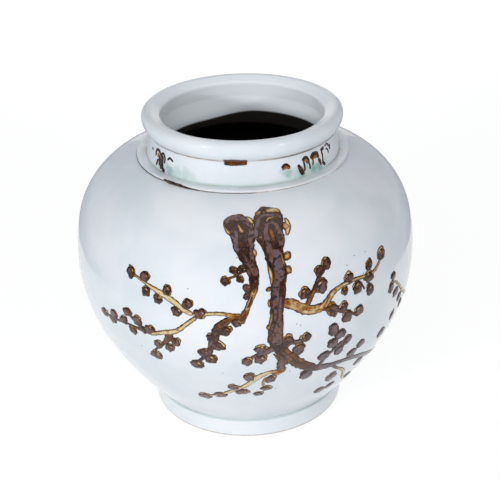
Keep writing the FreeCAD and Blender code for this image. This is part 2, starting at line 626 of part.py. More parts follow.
def make_sprays():
    """Cut every spray from its layer of slip, short of the strokes that it is laid under."""
    skins = {on_wall: wall_skin(), on_neck: neck_skin()}
    prisms = {}
    solids = {}
    for name, (surface, around, share, limbs, strokes, buds, over) in sprays.items():
        spray = Spray(surface, around, share)
        for row_shares in limbs:
            spray.limb(row_shares)
        for point_shares in strokes:
            spray.stroke(point_shares)
        spray.buds(buds)
        prisms[name] = spray.prism()
        body = prisms[name]
        for above in over:
            body = body.cut(prisms[above])
        solids[name] = body.common(skins[surface])
    return solids


pieces = {
    "foot_ring": make_foot_ring(),
    "lower_bowl": make_lower_bowl(),
    "shoulder_bowl": make_shoulder_bowl(),
    "collar_band": make_collar_band(),
    "neck_wall": make_neck_wall(),
    "rolled_lip": make_rolled_lip(),
}
pieces.update(make_sprays())

os.makedirs("parts", exist_ok=True)
for node, shape in pieces.items():
    shape.exportStep("parts/" + node + ".step")
    print(node, len(shape.Solids), "solids", round(shape.Volume), "mm3", "valid" if shape.isValid() else "NOT VALID")
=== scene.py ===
"""A glazed porcelain jar with a broad shoulder, painted with a plum branch in raised iron slip.

Lengths are in metres and angles in degrees. The jar stands on z = 0 and its front faces -Y.
"""

import logging
import math
import random
from dataclasses import dataclass
from enum import Enum
from functools import cached_property
from typing import Sequence

import bmesh
import bpy
from mathutils import Matrix, Vector, noise


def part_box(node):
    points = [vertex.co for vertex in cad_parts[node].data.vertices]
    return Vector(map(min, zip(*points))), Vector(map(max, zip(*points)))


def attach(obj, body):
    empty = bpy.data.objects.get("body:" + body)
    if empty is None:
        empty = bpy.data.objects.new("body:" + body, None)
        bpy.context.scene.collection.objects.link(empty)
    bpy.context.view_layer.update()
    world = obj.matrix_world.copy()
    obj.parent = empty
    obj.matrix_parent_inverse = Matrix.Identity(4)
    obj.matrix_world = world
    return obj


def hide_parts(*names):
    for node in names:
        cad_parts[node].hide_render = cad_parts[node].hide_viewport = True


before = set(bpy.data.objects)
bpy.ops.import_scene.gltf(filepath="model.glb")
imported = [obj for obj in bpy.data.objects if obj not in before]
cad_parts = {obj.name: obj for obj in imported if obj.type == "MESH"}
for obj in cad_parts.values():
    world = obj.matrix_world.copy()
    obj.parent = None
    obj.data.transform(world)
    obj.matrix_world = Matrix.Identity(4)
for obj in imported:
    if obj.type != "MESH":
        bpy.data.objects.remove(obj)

log = logging.getLogger("jar")

Place = tuple[float, float]
Colour = tuple[float, float, float, float]
Points = Sequence[tuple[float, ...]]
Stops = tuple[tuple[float, Colour], ...]
Material = bpy.types.Material
Shown = bpy.types.Material | bpy.types.World
Socket = bpy.types.NodeSocket


def paint(red: int, green: int, blue: int) -> Colour:
    """Turn a display colour into the linear colour that a shader takes.

    Args:
        red: Red, 0 to 255.
        green: Green, 0 to 255.
        blue: Blue, 0 to 255.

    Returns:
        The linear colour with full alpha.
    """
    parts = [value / 255 for value in (red, green, blue)]
    linear = [part / 12.92 if part <= 0.04045 else ((part + 0.055) / 1.055) ** 2.4 for part in parts]
    return (linear[0], linear[1], linear[2], 1.0)


def ease(low: float, high: float, value: float) -> float:
    """Smooth step from 0 at low to 1 at high."""
    share = min(max((value - low) / (high - low), 0.0), 1.0)
    return share * share * (3 - 2 * share)


def curve_through(points: Points, share: float) -> tuple[float, ...]:
    """Follow a smooth curve through points, as a Catmull-Rom spline.

    Args:
        points: Points of any number of values each.
        share: How far along, 0 at the first point and 1 at the last.

    Returns:
        The values there.
    """
    last = len(points) - 1
    if last == 0:
        return tuple(points[0])
    position = min(max(share, 0.0), 1.0) * last
    index = min(int(position), last - 1)
    t = position - index
    before, start = points[max(index - 1, 0)], points[index]
    end, after = points[index + 1], points[min(index + 2, last)]
    return tuple(
        0.5 * (2 * b + (c - a) * t + (2 * a - 5 * b + 4 * c - d) * t * t + (3 * b - a - 3 * c + d) * t ** 3)
        for a, b, c, d in zip(before, start, end, after)
    )


def mixed(values: Sequence[float], share: float) -> float:
    """Read a row of values at a share of its length."""
    return curve_through([(value,) for value in values], share)[0]


# The jar's form


@dataclass(frozen=True)
class Arc:
    """An arc of the half section, radius across and height up."""

    centre: Place
    radius: float
    start: float
    end: float

    @property
    def length(self) -> float:
        """Length of the arc."""
        return abs(self.radius * math.radians(self.end - self.start))

    def at(self, angle: float) -> Place:
        """Point at an angle."""
        turn = math.radians(angle)
        return (self.centre[0] + self.radius * math.cos(turn), self.centre[1] + self.radius * math.sin(turn))


@dataclass(frozen=True)
class JarForm:
    """The potter's sizes of the jar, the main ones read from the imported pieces."""

    belly_radius: float
    belly_height: float
    foot_radius: float
    collar_radius: float
    collar_height: float
    collar_top: float
    neck_top_height: float
    lip_radius: float
    lip_top: float
    lower_break_angle: float = -28.0
    shoulder_break_angle: float = 13.6
    foot_height: float = 0.020
    foot_overhang: float = 0.0012
    foot_bulge: float = 0.0006
    foot_ring_width: float = 0.013
    recess_depth: float = 0.012
    base_step: float = 0.002
    wall_thickness: float = 0.008
    floor_thickness: float = 0.010
    floor_corner_radius: float = 0.024
    collar_ledge_width: float = 0.0091
    ledge_fall: float = 0.0005
    neck_taper: float = 0.0037
    neck_waist: float = 0.0005
    neck_thickness: float = 0.0092
    bore_margin: float = 0.001
    seam_film: float = 0.00015
    lip_reach: float = 0.0065
    lip_roll_radius: float = 0.0065
    lip_bevel_angle: float = 27.0
    mouth_overhang: float = 0.0017
    mouth_edge_radius: float = 0.003
    wall_span_angle: float = 103.0
    neck_span_angle: float = 14.2
    widest_share: float = 0.52

    @classmethod
    def from_frame(cls) -> "JarForm":
        """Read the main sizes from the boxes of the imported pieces.

        Returns:
            The jar's sizes.
        """
        collar_low, collar_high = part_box("collar_band")
        lip_low, lip_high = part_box("rolled_lip")
        return cls(
            belly_radius=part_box("lower_bowl")[1].x,
            belly_height=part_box("shoulder_bowl")[0].z,
            foot_radius=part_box("foot_ring")[1].x,
            collar_radius=collar_high.x,
            collar_height=collar_low.z,
            collar_top=collar_high.z,
            neck_top_height=lip_low.z,
            lip_radius=lip_high.x,
            lip_top=lip_high.z,
        )

    @property
    def foot_joint_radius(self) -> float:
        """Radius where the wall meets the foot."""
        return self.foot_radius - self.foot_overhang - self.foot_bulge

    @property
    def foot_inner_radius(self) -> float:
        """Inside radius of the foot ring."""
        return self.foot_joint_radius - self.foot_ring_width

    @property
    def base_radius(self) -> float:
        """Radius of the base that sits in the foot ring."""
        return self.foot_joint_radius - self.base_step

    @property
    def floor_height(self) -> float:
        """Height of the floor inside."""
        return self.recess_depth + self.floor_thickness

    @property
    def groove_height(self) -> float:
        """Height of the groove where the neck rises from the collar."""
        return self.collar_top - self.ledge_fall

    @property
    def neck_base_radius(self) -> float:
        """Outside radius of the neck at the groove."""
        return self.collar_radius - self.collar_ledge_width

    @property
    def neck_top_radius(self) -> float:
        """Outside radius of the neck under the lip."""
        return self.neck_base_radius - self.neck_taper

    @property
    def bore_radius(self) -> float:
        """Inside radius of the neck."""
        return self.neck_top_radius - self.neck_thickness

    @property
    def mouth_radius(self) -> float:
        """Radius of the mouth inside the lip."""
        return self.bore_radius - self.mouth_overhang

    @property
    def roll_centre(self) -> Place:
        """Centre of the lip's roll."""
        return (self.lip_radius - self.lip_roll_radius, self.lip_top - self.lip_roll_radius)

    @property
    def lip_flank(self) -> Arc:
        """Undercut side of the lip, from the neck up to the roll."""
        rise = self.roll_centre[1] - self.neck_top_height
        radius = (self.lip_reach ** 2 + rise ** 2) / (2 * self.lip_reach)
        lean = math.degrees(math.asin(rise / radius))
        return Arc((self.lip_radius - radius, self.roll_centre[1]), radius, -lean, 0.0)

    @property
    def collar_face(self) -> Arc:
        """Upright face of the collar, so nearly flat that its arc is a metre in radius."""
        half = (self.collar_top - self.collar_height) / 2
        lean = math.degrees(math.asin(half))
        return Arc((self.collar_radius - 1.0, self.collar_height + half), 1.0, -lean, lean)

    @property
    def neck_face(self) -> Arc:
        """Waisted outside of the neck, from the groove up to the lip."""
        rise = self.neck_top_height - self.groove_height
        lean = math.atan2(self.neck_taper, rise)
        chord = math.hypot(self.neck_taper, rise)
        hollow = (chord * chord / 4 + self.neck_waist ** 2) / (2 * self.neck_waist)
        away = hollow - self.neck_waist
        centre = (
            (self.neck_base_radius + self.neck_top_radius) / 2 + away * math.cos(lean),
            self.groove_height + rise / 2 + away * math.sin(lean),
        )
        slope, half = math.degrees(lean), math.degrees(math.asin(chord / 2 / hollow))
        return Arc(centre, -hollow, slope + half, slope - half)

    def blend(self, break_angle: float, end: Place, from_end: bool) -> Arc:
        """Find the arc that leaves the belly at an angle and passes through a point.

        Args:
            break_angle: Angle at which the arc leaves the belly.
            end: Point of the half section that it passes through.
            from_end: True if the arc is followed from that point back to the belly.

        Returns:
            The arc.
        """
        way = (math.cos(math.radians(break_angle)), math.sin(math.radians(break_angle)))
        start = (self.belly_radius * way[0], self.belly_height + self.belly_radius * way[1])
        run = (end[0] - start[0], end[1] - start[1])
        radius = -(run[0] ** 2 + run[1] ** 2) / (2 * (way[0] * run[0] + way[1] * run[1]))
        centre = (start[0] - radius * way[0], start[1] - radius * way[1])
        end_angle = math.degrees(math.atan2((end[1] - centre[1]) / radius, (end[0] - centre[0]) / radius))
        return Arc(centre, radius, *((end_angle, break_angle) if from_end else (break_angle, end_angle)))

    @property
    def wall(self) -> tuple[Arc, Arc, Arc]:
        """The three arcs of the outer wall, from the foot joint up to the collar."""
        low, high = self.lower_break_angle, self.shoulder_break_angle
        return (
            self.blend(low, (self.foot_joint_radius, self.foot_height), True),
            Arc((0.0, self.belly_height), self.belly_radius, low, high),
            self.blend(high, (self.collar_radius, self.collar_height), False),
        )


@dataclass(frozen=True)
class Drift:
    """One way in which the potter's hand strays from true."""

    reach: float
    around_rate: float
    height_rate: float
    start: Place = (0.0, 0.0)

    def at(self, ring: Vector, height: float) -> float:
        """Distance outwards in a direction round the jar, at a height."""
        where = ring * self.around_rate + Vector((*self.start, height * self.height_rate))
        return self.reach * noise.noise(where)


# A slow lean of the wall, and the faint rings of throwing
hand_drifts = (Drift(0.00032, 1.1, 9.0), Drift(0.00009, 0.35, 210.0, (4.0, 2.0)))


def hand(around: float, height: float) -> float:
    """How far the potter's hand left the clay out of true, the same for the clay and the slip on it.

    Args:
        around: Angle round the jar in radians.
        height: Height on the jar.

    Returns:
        Distance outwards.
    """
    ring = Vector((math.sin(around), -math.cos(around), 0.0))
    return sum(drift.at(ring, height) for drift in hand_drifts)


class Surface:
    """A painted surface of the jar, on which a place is an angle round it and a share of the way up."""

    def __init__(self, form: JarForm, arcs: Sequence[Arc], span_angle: float) -> None:
        """Lay out the surface.

        Args:
            form: The jar's sizes.
            arcs: Its half section, from its foot up.
            span_angle: Its length, as an angle of the drawing.
        """
        self.form = form
        self.arcs = arcs
        self.span_angle = span_angle
        self.length = sum(arc.length for arc in arcs)

    def section(self, share: float) -> tuple[Place, Place]:
        """Find a point of the half section.

        Args:
            share: Share of the way up.

        Returns:
            The point, and the direction outwards there.
        """
        left = share * self.length
        for arc in self.arcs:
            if left <= arc.length or arc is self.arcs[-1]:
                break
            left -= arc.length
        angle = arc.start + math.copysign(math.degrees(left / abs(arc.radius)), arc.end - arc.start)
        way = (math.cos(math.radians(angle)), math.sin(math.radians(angle)))
        return arc.at(angle), way

    def at(self, around: float, share: float, lift: float = 0.0) -> Vector:
        """Point on the surface.

        Args:
            around: Angle round the jar from its front, positive to the viewer's right.
            share: Share of the way up.
            lift: Distance off the surface.

        Returns:
            The point.
        """
        (radius, height), (out, up) = self.section(share)
        turn = math.radians(around)
        reach = radius + out * lift + hand(turn, height)
        return Vector((reach * math.sin(turn), -reach * math.cos(turn), height + up * lift))

    def squeeze(self, share: float) -> float:
        """How far the drawing draws in towards the top and the bottom."""
        return math.cos(math.radians((share - self.form.widest_share) * self.span_angle))

    def degree(self, share: float) -> float:
        """Length on the surface of one degree of the drawing."""
        return self.section(share)[0][0] * math.radians(1) / self.squeeze(share)

    def length_between(self, start: Sequence[float], end: Sequence[float]) -> float:
        """Length on the surface between two places."""
        across = (end[0] - start[0]) * self.squeeze(start[1])
        return math.hypot(across, (end[1] - start[1]) * self.span_angle) * self.degree(start[1])


# Thrown clay


class Section:
    """A half section drawn point by point and spun about the jar's axis."""

    merge_distance = 1e-6
    seam_distance = 2e-6
    least_radius = 0.02

    def __init__(self, radius: float, height: float, inside: float = 0.0) -> None:
        """Begin at a point.

        Args:
            radius: Its radius.
            height: Its height.
            inside: One if it lies inside the jar.
        """
        self.mesh = bmesh.new()
        self.inside = self.mesh.verts.layers.float.new("inside")
        self.mark = 0.0
        self.first = self.mesh.verts.new((radius, 0.0, height))
        self.first[self.inside] = inside
        self.last = self.first

    def _extruded(self) -> bmesh.types.BMVert:
        """Draw one more point out of the last."""
        made = bmesh.ops.extrude_vert_indiv(self.mesh, verts=[self.last])
        self.last = made["verts"][0]
        self.last[self.inside] = self.mark
        return self.last

    def indoors(self) -> "Section":
        """Mark what is drawn from here on as the inside of the jar."""
        self.mark = 1.0
        return self

    def to(self, radius: float, height: float, steps: int = 1) -> "Section":
        """Draw a straight stretch.

        Args:
            radius: Radius of its end.
            height: Height of its end.
            steps: Steps of the stretch.

        Returns:
            The section itself.
        """
        run = Vector((radius, 0.0, height)) - self.last.co
        for _ in range(steps):
            bmesh.ops.translate(self.mesh, verts=[self._extruded()], vec=run / steps)
        return self

    def turn(self, centre: Place, angle: float, steps: int) -> "Section":
        """Draw an arc about a centre.

        Args:
            centre: Its centre.
            angle: Angle it turns through, positive from across to up.
            steps: Steps of the arc.

        Returns:
            The section itself.
        """
        turn = Matrix.Rotation(math.radians(-angle / steps), 3, "Y")
        axis = (centre[0], 0.0, centre[1])
        for _ in range(steps):
            bmesh.ops.rotate(self.mesh, verts=[self._extruded()], cent=axis, matrix=turn)
        return self

    def round(self, centre: Place, end: Place, steps: int) -> "Section":
        """Draw the shorter arc about a centre.

        Args:
            centre: Its centre.
            end: Its end.
            steps: Steps of the arc.

        Returns:
            The section itself.
        """
        here = self.last.co
        first = math.atan2(here.z - centre[1], here.x - centre[0])
        last = math.atan2(end[1] - centre[1], end[0] - centre[0])
        return self.turn(centre, math.degrees(math.remainder(last - first, 2 * math.pi)), steps)

    def bow(self, radius: float, height: float, swell: float, steps: int) -> "Section":
        """Draw a shallow arc.

        Args:
            radius: Radius of its end.
            height: Height of its end.
            swell: How far it swells to the left of its chord.
            steps: Steps of the arc.

        Returns:
            The section itself.
        """
        here = self.last.co
        run = (radius - here.x, height - here.z)
        chord = math.hypot(*run)
        depth = (chord * chord / 4 - swell * swell) / (2 * swell)
        centre = (
            (here.x + radius) / 2 + run[1] / chord * depth,
            (here.z + height) / 2 - run[0] / chord * depth,
        )
        return self.round(centre, (radius, height), steps)

    def corner(self, radius: float, height: float, size: float, onward: Place, steps: int = 5) -> "Section":
        """Draw up to a corner and round it.

        Args:
            radius: Radius of the sharp corner.
            height: Height of the sharp corner.
            size: Radius of the rounding.
            onward: A point that the outline goes on towards.
            steps: Steps of the rounding.

        Returns:
            The section itself.
        """
        point = Vector((radius, height))
        back = (Vector((self.last.co.x, self.last.co.z)) - point).normalized()
        ahead = (Vector(onward) - point).normalized()
        half = back.angle(ahead) / 2
        start = point + back * size / math.tan(half)
        end = point + ahead * size / math.tan(half)
        centre = point + (back + ahead).normalized() * size / math.sin(half)
        return self.to(*start).round(tuple(centre), tuple(end), steps)

    def spun(self, sides: int, closed: bool = True) -> bmesh.types.BMesh:
        """Spin the section a full turn.

        Args:
            sides: Number of steps round the jar.
            closed: True if the last point joins the first, as on a ring.

        Returns:
            The mesh, made out of true by hand, with its normals outwards.
        """
        mesh = self.mesh
        if closed:
            mesh.edges.new((self.last, self.first))
        bmesh.ops.remove_doubles(mesh, verts=mesh.verts[:], dist=self.merge_distance)
        bmesh.ops.spin(
            mesh, geom=mesh.verts[:] + mesh.edges[:], cent=(0, 0, 0), axis=(0, 0, 1),
            angle=2 * math.pi, steps=sides, use_merge=True,
        )
        bmesh.ops.remove_doubles(mesh, verts=mesh.verts[:], dist=self.seam_distance)
        for vert in mesh.verts:
            reach = math.hypot(vert.co.x, vert.co.y)
            if reach > self.least_radius:
                around = math.atan2(vert.co.x, -vert.co.y)
                vert.co.xy *= 1 + hand(around, vert.co.z) / reach
        bmesh.ops.recalc_face_normals(mesh, faces=mesh.faces[:])
        return mesh


def placed(name: str, data: bpy.types.ID) -> bpy.types.Object:
    """Add an object to the scene at the origin."""
    made = bpy.data.objects.new(name, data)
    bpy.context.scene.collection.objects.link(made)
    return made


def shaped(name: str, mesh: bmesh.types.BMesh, material: Material) -> bpy.types.Object:
    """Make an object of a mesh.

    Args:
        name: Name of the object.
        mesh: Its mesh, which is freed.
        material: Its finish.

    Returns:
        The object.
    """
    data = bpy.data.meshes.new(name)
    mesh.to_mesh(data)
    mesh.free()
    data.materials.append(material)
    return placed(name, data)


def finished(
    name: str,
    mesh: bmesh.types.BMesh,
    material: Material,
    nodes: Sequence[str],
    sharp_angle: float,
) -> bpy.types.Object:
    """Make a piece of the jar from a mesh.

    Args:
        name: Name of the piece.
        mesh: Its mesh, which is freed.
        material: Its finish.
        nodes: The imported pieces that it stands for.
        sharp_angle: Edges that turn more than this stay crisp.

    Returns:
        The object, riding on the jar.
    """
    for face in mesh.faces:
        face.smooth = True
    for edge in mesh.edges:
        if len(edge.link_faces) == 2:
            edge.smooth = edge.calc_face_angle(0.0) < math.radians(sharp_angle)
    piece = shaped(name, mesh, material)
    if nodes:
        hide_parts(*nodes)
    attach(piece, "root")
    return piece


# Finishes


@dataclass(frozen=True)
class Grain:
    """A noise: how fine it is, how many layers it has and how rough they are."""

    scale: float
    detail: float = 4.0
    rough: float = 0.6


class Graph:
    """The nodes of a material or a world, added and wired one call at a time."""

    def __init__(self, owner: Shown) -> None:
        """Clear the nodes.

        Args:
            owner: The material or the world.
        """
        self.owner = owner
        owner.use_nodes = True
        self.tree = owner.node_tree
        self.tree.nodes.clear()

    def node(
        self, kind: str, *values: object, inputs: dict[str | int, object] | None = None, **settings: object,
    ) -> bpy.types.Node:
        """Add a node.

        Args:
            kind: Its type.
            values: What goes into its inputs from the first on, sockets to wire or plain values.
            inputs: What goes into its other inputs, by their names or numbers.
            settings: Its properties.

        Returns:
            The node.
        """
        made = self.tree.nodes.new(kind)
        for key, value in settings.items():
            setattr(made, key, value)
        for key, value in {**dict(enumerate(values)), **(inputs or {})}.items():
            if isinstance(value, Socket):
                self.tree.links.new(value, made.inputs[key])
            else:
                made.inputs[key].default_value = value
        return made

    def math(self, kind: str, *values: object, clamp: bool = False) -> Socket:
        """Do one sum."""
        return self.node("ShaderNodeMath", *values, operation=kind, use_clamp=clamp).outputs[0]

    def vector(self, kind: str, *values: object) -> bpy.types.Node:
        """Do one sum with vectors."""
        return self.node("ShaderNodeVectorMath", *values, operation=kind)

    @cached_property
    def where(self) -> Socket:
        """The point on the piece, in the jar's own frame."""
        return self.node("ShaderNodeTexCoord").outputs["Object"]

    @cached_property
    def parts(self) -> Sequence[Socket]:
        """The point's distance across, its distance back and its height."""
        return self.node("ShaderNodeSeparateXYZ", self.where).outputs

    def attribute(self, name: str) -> Socket:
        """A value painted on the mesh."""
        return self.node("ShaderNodeAttribute", attribute_name=name).outputs["Fac"]

    def noise(self, grain: Grain, where: Socket | None = None) -> Socket:
        """Lay a noise over the piece, or over another place if one is given."""
        values = {"Scale": grain.scale, "Detail": grain.detail, "Roughness": grain.rough}
        return self.node("ShaderNodeTexNoise", where or self.where, inputs=values).outputs["Fac"]

    def swing(self, value: Socket, amount: float) -> Socket:
        """Let a noise swing evenly about nought by an amount."""
        return self.math("MULTIPLY", self.math("SUBTRACT", value, 0.5), amount)

    def span(self, value: object, low: float, high: float, first: object = 0.0, last: object = 1.0) -> Socket:
        """Pass smoothly from a first value at low to a last value at high."""
        values = (value, low, high, first, last)
        return self.node("ShaderNodeMapRange", *values, interpolation_type="SMOOTHSTEP").outputs[0]

    def blend(self, share: Socket, first: object, second: object) -> Socket:
        """Mix a share of a second colour into a first."""
        return self.node("ShaderNodeMix", share, inputs={6: first, 7: second}, data_type="RGBA").outputs[2]

    def ramp(self, value: Socket, stops: Stops) -> Socket:
        """Read a colour from a row of colours.

        Args:
            value: Where to read, 0 to 1.
            stops: Positions and their colours.

        Returns:
            The colour.
        """
        made = self.node("ShaderNodeValToRGB", value)
        elements = made.color_ramp.elements
        while len(elements) < len(stops):
            elements.new(0.5)
        for element, (position, colour) in zip(elements, stops):
            element.position = position
            element.color = colour
        return made.outputs[0]

    def bump(self, height: Socket, strength: float, distance: float, under: Socket | None = None) -> Socket:
        """Raise the surface by a height, on top of another bump if one is given."""
        values = {"Strength": strength, "Distance": distance, "Height": height}
        return self.node("ShaderNodeBump", inputs=values | ({"Normal": under} if under else {})).outputs[0]

    def seen(self) -> Socket:
        """One where a ray comes from the camera, a mirror or glass, and nought elsewhere."""
        rays = self.node("ShaderNodeLightPath").outputs
        mirrored = self.math("MAXIMUM", rays["Is Camera Ray"], rays["Is Glossy Ray"])
        return self.math("MAXIMUM", mirrored, rays["Is Transmission Ray"])

    def output(self, shader: bpy.types.Node, kind: str = "ShaderNodeOutputMaterial") -> Shown:
        """Let the material or the world show a shader, and hand it over."""
        self.node(kind, shader.outputs[0])
        return self.owner

    def fired(self, colour: Socket, rough: Socket, normal: Socket) -> Material:
        """Finish a glazed material with its colour, its roughness and its bumps."""
        values = {"Base Color": colour, "Roughness": rough, "IOR": 1.5, "Normal": normal}
        return self.output(self.node("ShaderNodeBsdfPrincipled", inputs=values))


@dataclass(frozen=True)
class Wash:
    """A soft spot of colour in the glaze."""

    around: float
    height: float
    reach: float
    strength: float
    colour: Colour
    core_share: float = 0.35

    def near(self, graph: Graph, ragged: Socket, radius: float) -> Socket:
        """Find how strong the spot is at the point on the piece.

        Args:
            graph: The glaze's nodes.
            ragged: A noise that frays the spot.
            radius: Radius of the piece at the spot.

        Returns:
            Its strength.
        """
        turn = math.radians(self.around)
        spot = (radius * math.sin(turn), -radius * math.cos(turn), self.height)
        off = graph.vector("DISTANCE", graph.where, spot).outputs["Value"]
        bent = graph.math("ADD", off, graph.swing(ragged, self.reach))
        return graph.span(bent, self.reach * self.core_share, self.reach, self.strength, 0.0)


@dataclass(frozen=True)
class Band:
    """A line of colour round the jar, where glaze pools or runs thin."""

    height: float
    reach: float
    strength: float
    colour: Colour
    broken: float = 0.0
    gaps: Grain = Grain(38.0)
    gap_range: Place = (-0.12, 0.1)
    fray_range: Place = (0.2, 0.6)
    least_share: float = 0.55

    def near(self, graph: Graph, ragged: Socket) -> Socket:
        """Find how strong the line is at the point on the piece.

        Args:
            graph: The glaze's nodes.
            ragged: A noise that frays the line.

        Returns:
            Its strength.
        """
        off = graph.math("ABSOLUTE", graph.math("SUBTRACT", graph.parts[2], self.height))
        near = graph.span(off, 0.0, self.reach, self.strength, 0.0)
        if self.broken:
            kept = graph.span(graph.noise(self.gaps), *(self.broken + limit for limit in self.gap_range))
            near = graph.math("MULTIPLY", near, kept)
        frayed = graph.span(ragged, *self.fray_range, self.least_share, 1.0)
        return graph.math("MULTIPLY", near, frayed, clamp=True)


@dataclass(frozen=True)
class Glaze:
    """Clear, faintly blue porcelain glaze over white clay.

    Within a radius it is whitened as painted light, which brightens the inner faces of the lip and
    neck. It is bare below a height, and the inside may be painted near black as raw clay in painted
    shade, all of it or below a height. Each of these is None where the piece doesn't have it.
    """

    name: str
    body: Colour = paint(229, 233, 238)
    thick: Colour = paint(215, 224, 230)
    # Painted light: the whiter colour laid within a radius, which brightens the inner lip and neck
    white: Colour = paint(240, 246, 251)
    speck: Colour = paint(128, 104, 84)
    bare_clay: Stops = ((0.3, paint(196, 178, 150)), (0.7, paint(226, 214, 194)))
    # Near-black raw clay for the inside, darkened as painted shade
    raw_clay_shade: Stops = ((0.3, paint(20, 15, 12)), (0.7, paint(34, 27, 22)))
    bands: tuple[Band, ...] = ()
    washes: tuple[Wash, ...] = ()
    radius: float = 0.0
    # Radius within which painted light whitens the glaze, and the width of its soft edge
    painted_light_within: float | None = None
    painted_light_width: float = 0.004
    bare_below: float | None = None
    bare_fray: float = 0.0012
    bare_edge: float = 0.0006
    # Painted shade inside: all of it, or below a height that rises across the jar
    shaded_raw_inside: bool = False
    shade_below: float | None = None
    shade_rise: float = 0.006
    shade_slant: Place = (-0.04, 0.015)
    shade_edge: Place = (-0.0012, 0.0010)
    thick_range: Place = (0.3, 0.72)
    rough_range: Place = (0.055, 0.11)
    bare_rough: float = 0.8
    raw_rough: float = 0.7
    slow: Grain = Grain(14.0, 3.0, 0.55)
    ragged: Grain = Grain(260.0)
    sparse: Grain = Grain(31.0, 1.0, 0.5)
    sheen: Grain = Grain(60.0, 4.0, 0.5)
    peel: Grain = Grain(420.0, 2.0, 0.4)
    ripple: Grain = Grain(70.0, 2.0, 0.4)
    grit: Grain = Grain(900.0, 4.0, 0.7)
    raw_grain: Grain = Grain(500.0, 4.0, 0.7)
    speck_scale: float = 52.0
    speck_range: Place = (0.012, 0.022)

    def coloured(self, graph: Graph, ragged: Socket) -> Socket:
        """Colour the glaze with its painted light within a radius, its bands, its washes and a few specks.

        Args:
            graph: The glaze's nodes.
            ragged: A noise that frays edges.

        Returns:
            The colour.
        """
        pooled = graph.span(graph.noise(self.slow), *self.thick_range)
        colour = graph.blend(pooled, self.body, self.thick)
        # Painted light: faces within the radius, the inner lip and neck, are whitened to stand in for light
        # on them
        if self.painted_light_within is not None:
            flat = graph.vector("MULTIPLY", graph.where, (1.0, 1.0, 0.0)).outputs[0]
            reach = graph.vector("LENGTH", flat).outputs["Value"]
            thin = graph.span(reach, self.painted_light_within - self.painted_light_width, self.painted_light_within, 1.0, 0.0)
            colour = graph.blend(thin, colour, self.white)
        outside = graph.math("SUBTRACT", 1.0, graph.attribute("inside"))
        for band in self.bands:
            near = graph.math("MULTIPLY", band.near(graph, ragged), outside)
            colour = graph.blend(near, colour, band.colour)
        for wash in self.washes:
            colour = graph.blend(wash.near(graph, ragged, self.radius), colour, wash.colour)
        cells = {"Vector": graph.where, "Scale": self.speck_scale}
        off = graph.node("ShaderNodeTexVoronoi", inputs=cells, feature="F1").outputs["Distance"]
        some = graph.span(graph.noise(self.sparse), 0.6, 0.66)
        speck = graph.math("MULTIPLY", graph.span(off, *self.speck_range, 0.6, 0.0), some)
        return graph.blend(speck, colour, self.speck)

    def made(self) -> Material:
        """Build the glaze's nodes.

        Returns:
            The material.
        """
        graph = Graph(bpy.data.materials.new(self.name))
        across, _, up = graph.parts
        ragged = graph.noise(self.ragged)
        colour = self.coloured(graph, ragged)
        rough = graph.span(graph.noise(self.sheen), 0.3, 0.8, *self.rough_range)
        ripple = graph.bump(graph.noise(self.ripple), strength=0.16, distance=0.0012)
        normal = graph.bump(graph.noise(self.peel), strength=0.10, distance=0.0004, under=ripple)
        if self.bare_below is not None:
            frayed = graph.math("ADD", up, graph.math("MULTIPLY", ragged, self.bare_fray))
            bare = graph.span(frayed, self.bare_below, self.bare_below + self.bare_edge, 1.0, 0.0)
            grit = graph.noise(self.grit)
            colour = graph.blend(bare, colour, graph.ramp(grit, self.bare_clay))
            rough = graph.math("MAXIMUM", rough, graph.math("MULTIPLY", bare, self.bare_rough))
            normal = graph.bump(grit, strength=0.25, distance=0.0004, under=normal)
        # Painted shade: the inside is coloured near-black raw clay to stand in for the shade deep in the jar;
        # with a height given, only below a line that rises towards the right, the edge of a painted shadow
        if self.shaded_raw_inside:
            raw = graph.attribute("inside")
            if self.shade_below is not None:
                edge = graph.span(across, *self.shade_slant, self.shade_below, self.shade_below + self.shade_rise)
                deep = graph.span(graph.math("SUBTRACT", up, edge), *self.shade_edge, 1.0, 0.0)
                raw = graph.math("MULTIPLY", raw, deep)
            colour = graph.blend(raw, colour, graph.ramp(graph.noise(self.raw_grain), self.raw_clay_shade))
            rough = graph.math("MAXIMUM", rough, graph.math("MULTIPLY", raw, self.raw_rough))
        return graph.fired(colour, rough, normal)


